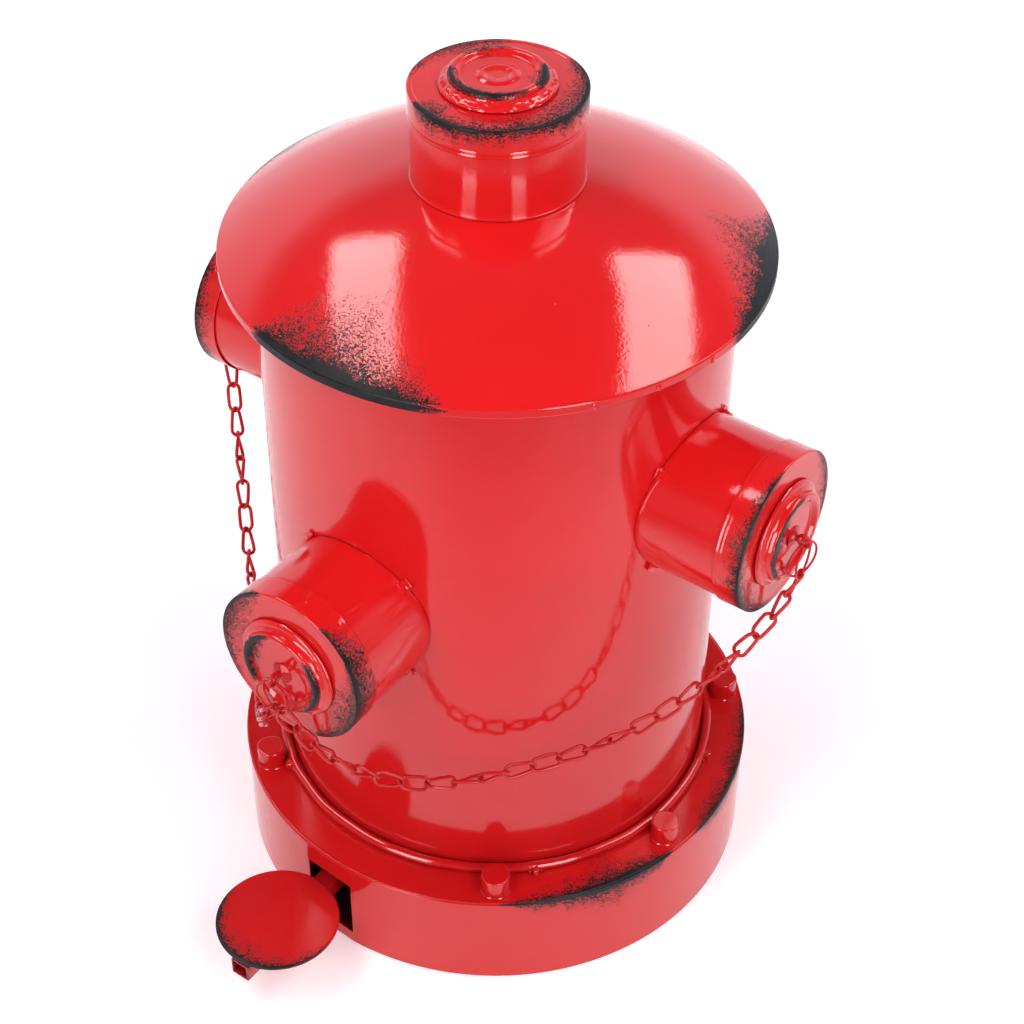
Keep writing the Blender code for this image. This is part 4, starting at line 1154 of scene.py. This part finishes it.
LINK_LENGTH, LINK_WIDTH, LINK_WIRE = 18.6 * MM, 7.8 * MM, 1.15 * MM
LINKS = 24  # in each chain
TWIST, STEP = 54, 144  # degrees within a link, and from one link to the next
SAG, FRONT_POWER, FAR_POWER = 98 * MM, 3.0, 2.5  # how deep a chain hangs, and how steeply at either end
LEAN = 4.6 * MM  # how far the chains hang out from the line between their ends, clear of the caps' edges
RING_SHIFT = 4 * MM  # how far to either side the two chains hook into the front ring
HOOKED = 1.1 * MM  # how far the end links' joints lie past the rings' wires


def link_shape():
    """One twisted link along X, about the origin."""
    bend, straight = LINK_WIDTH / 2, (LINK_LENGTH - LINK_WIDTH) / 2
    flat = []
    for end in (1, -1):
        for k in range(9):
            turn = math.radians(-90 + 22.5 * k)
            flat.append((end * (straight + bend * math.cos(turn)), end * bend * math.sin(turn)))
        for k in (1, 2, 3):
            flat.append((end * straight * (1 - k / 2), end * bend))
    path = []
    for x, y in flat:
        turn = math.radians(TWIST) * x / LINK_LENGTH
        path.append(Vector((x, y * math.cos(turn), y * math.sin(turn))))
    return sweep(path, LINK_WIRE, 10, closed=True)


def ring_bottom(side, shift=0.0):
    low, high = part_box(f"{side}_nozzle_ring")
    centre, radius = (low + high) / 2, (high.z - low.z) / 2 - 1 * MM
    return centre + Vector((shift, 0, -math.sqrt(radius**2 - shift**2)))


def build_chain(side, hand, phase):
    """The chain from the front ring to a side ring. Phase is how its first link is turned, in degrees."""
    start, end = ring_bottom("front", hand * RING_SHIFT), ring_bottom(side)
    outward = Vector((start.x + end.x, start.y + end.y, 0)).normalized()
    route = []
    for share in np.linspace(0, 1, 801):
        power = FRONT_POWER if share < 0.5 else FAR_POWER
        lean = LEAN * min(1, share / 0.05, (1 - share) / 0.05)
        drop = SAG * (1 - abs(2 * share - 1) ** power)
        route.append(start.lerp(end, share) + outward * lean - Vector((0, 0, drop)))
    run = np.concatenate([[0], np.cumsum([(b - a).length for a, b in zip(route, route[1:])])])
    before = route[0] - (route[1] - route[0]).normalized() * HOOKED
    after = route[-1] + (route[-1] - route[-2]).normalized() * HOOKED
    route, run = [before, *route, after], np.concatenate([[-HOOKED], run, [run[-1] + HOOKED]])
    table = np.array([tuple(point) for point in route])
    wanted = np.linspace(run[0], run[-1], LINKS + 1)
    joints = [Vector([float(np.interp(s, run, table[:, i])) for i in range(3)]) for s in wanted]
    sideways = (end - start).cross(Vector((0, 0, 1))).normalized()
    shapes = []
    link = link_shape()
    for number, (a, b) in enumerate(zip(joints, joints[1:])):
        along = (b - a).normalized()
        up = sideways.cross(along)
        frame_of = Matrix((along, up, along.cross(up))).transposed().to_4x4()
        frame_of.translation = (a + b) / 2
        roll = math.radians(phase + STEP * number)
        shapes.append(moved(link, frame_of @ Matrix.Rotation(roll, 4, "X")))
    add(f"{side}_chain_links", joined(*shapes), f"{side}_chain")


# ---- studio ----

TURN = math.radians(CAMERA_AZIMUTH)
AWAY = Vector((-math.sin(TURN), math.cos(TURN), 0))  # from the camera, along the ground
RIGHT = Vector((math.cos(TURN), math.sin(TURN), 0))
UP = Vector((0, 0, 1))
FLOOR_SIDES = 64
FLOOR_DROP = 0.6 * MM


def colour_ramp(tree, value, stops):
    ramp = tree.nodes.new("ShaderNodeValToRGB")
    tree.links.new(value, ramp.inputs["Fac"])
    while len(ramp.color_ramp.elements) < len(stops):
        ramp.color_ramp.elements.new(0.5)
    for element, (position, level) in zip(ramp.color_ramp.elements, stops):
        element.position = position
        element.color = (level, level, level, 1)
    return ramp.outputs["Color"]


def build_floor():
    mesh = bpy.data.meshes.new("floor")
    points, faces, _ = lathe([(0, 0), (0.5, 0), (2, 0), (9, 0)], FLOOR_SIDES)
    faces = [face for face in faces if len(face) == 3 or max(face) - min(face) <= 2 * FLOOR_SIDES]
    mesh.from_pydata([tuple(point - np.array((0, 0, FLOOR_DROP))) for point in points], [], faces)
    floor = bpy.data.objects.new("floor", mesh)
    bpy.context.scene.collection.objects.link(floor)
    mesh.materials.append(pale_floor())


def build_world():
    """Soft light from all round, less from above and from the camera's side."""
    world = bpy.data.worlds.new("studio")
    bpy.context.scene.world = world
    world.use_nodes = True
    tree = world.node_tree

    def node(kind, *values, **settings):
        made = tree.nodes.new("ShaderNode" + kind)
        for name, value in settings.items():
            setattr(made, name, value)
        for key, value in values:
            if isinstance(value, bpy.types.NodeSocket):
                tree.links.new(value, made.inputs[key])
            else:
                made.inputs[key].default_value = value
        return made.outputs

    def product(first, second):
        values = ("Factor", 1), (6, first), (7, second)
        return node("Mix", *values, data_type="RGBA", blend_type="MULTIPLY")[2]

    way = node("TexCoord")["Generated"]
    upwards = node("SeparateXYZ", (0, way))["Z"]
    height = colour_ramp(tree, upwards, ((0, 1), (0.44, 1), (0.56, 0.2), (1, 0.15)))
    depth = node("VectorMath", (0, way), (1, AWAY), operation="DOT_PRODUCT")["Value"]
    shifted = node("Math", (0, depth), (1, 0.5), (2, 0.5), operation="MULTIPLY_ADD")[0]
    side = colour_ramp(tree, shifted, ((0.35, 0.28), (0.8, 1)))
    background = tree.nodes["Background"]
    tree.links.new(product(product(height, side), (0.97, 1, 1.1, 1)), background.inputs["Color"])
    background.inputs["Strength"].default_value = 1.2


def overhead(sideways, forward):
    """The direction that many degrees off the vertical, to the camera's right and away from it."""
    tilt = math.radians(math.hypot(sideways, forward))
    return (RIGHT * sideways + AWAY * forward).normalized() * math.sin(tilt) + UP * math.cos(tilt)


def beside_camera(sideways, height):
    """The direction of something that many degrees to the camera's right, and above the ground."""
    a, h = math.radians(sideways), math.radians(height)
    return (RIGHT * math.sin(a) - AWAY * math.cos(a)) * math.cos(h) + UP * math.sin(h)


def soft_box(name, place, axes, size, level, diffuse):
    """A rectangular light, its X, Y and back along these axes. It lights diffusely, or is only reflected."""
    light = bpy.data.lights.new(name, "AREA")
    light.shape = "RECTANGLE"
    light.size, light.size_y = size
    light.energy = 4 * level * light.size * light.size_y
    box = bpy.data.objects.new(name, light)
    box.matrix_world = Matrix.Translation(place) @ Matrix(axes).transposed().to_4x4()
    box.visible_camera = False
    box.visible_diffuse, box.visible_glossy = diffuse, not diffuse
    bpy.context.scene.collection.objects.link(box)


def lamp(name, way, long_side, twist, across, along, level, diffuse=True, distance=4.5):
    """A soft box that way from the body's top, spanning these angles."""
    distance += 0.2 * diffuse
    left, right = (math.tan(math.radians(angle)) * distance for angle in across)
    bottom, top = (math.tan(math.radians(angle)) * distance for angle in along)
    y = (long_side - way * long_side.dot(way)).normalized()
    x = y.cross(way)
    c, s = math.cos(math.radians(twist)), math.sin(math.radians(twist))
    x, y = x * c + y * s, y * c - x * s
    place = UP * 0.45 + way * distance + x * (left + right) / 2 + y * (bottom + top) / 2
    soft_box(name, place, (x, y, way), (right - left, top - bottom), level, diffuse)


def build_lamps():
    for side, sideways in (("left", -26.5), ("right", 33)):
        lamp(f"{side}_overhead_light", overhead(sideways, -8), AWAY, 0, (-9, 9), (-23, 23), 3.8)
    lamp("left_overhead_gleam", overhead(-26.5, 13), AWAY, -3, (-9.2, 5.4), (-22, 24), 7.3, False)
    lamp("right_overhead_gleam", overhead(33, 11), AWAY, 9, (-6.2, 10.5), (-24, 22.5), 7.3, False)
    lamp("left_front_light", beside_camera(-35, 20), UP, 0, (-9, 9), (-16, 16), 4, distance=1.7)
    lamp("right_front_light", beside_camera(26, 20), UP, 0, (-8, 8), (-16, 16), 5, distance=1.7)
    for side, sideways in (("left", -35), ("right", 26)):
        way = beside_camera(sideways, 0)
        axes = UP.cross(way), UP, way
        soft_box(f"{side}_front_gleam", way * 1.25 + UP * 0.63, axes, (0.37, 1.2), 8.5, False)


def build_camera():
    """The camera, solved from the photograph's view."""
    data = bpy.data.cameras.new("camera")
    camera = bpy.data.objects.new("camera", data)
    bpy.context.scene.collection.objects.link(camera)
    data.lens, data.sensor_width = 76.1335, 36
    rows = (
        (0.81095323, -0.38732678, 0.43855766, 0.61912),
        (0.58506492, 0.52738166, -0.6160906, -0.85279),
        (0.00734112, 0.75620537, 0.65429317, 1.16753),
        (0, 0, 0, 1),
    )
    camera.matrix_world = Matrix(rows)
    data.clip_start, data.clip_end = 0.01, 50
    bpy.context.scene.camera = camera


OUTWARD = {"front": (0, -1, 0), "right": (1, 0, 0), "left": (-1, 0, 0)}

build_base()
build_body()
build_lid()
build_hinge()
build_pedal()
build_bucket()
for side, outward in OUTWARD.items():
    build_outlet(side, outward)
    split_ring(side, outward)
for side, hand, phase in (("right", 1, 164), ("left", -1, 92)):
    build_chain(side, hand, phase)
for name, node in frame["nodes"].items():
    node.data.materials.clear()
    node.data.materials.append(FINISHES[SLOT_OF[name]])
bpy.context.scene.view_settings.view_transform = "Standard"
build_floor()
build_world()
build_lamps()
build_camera()
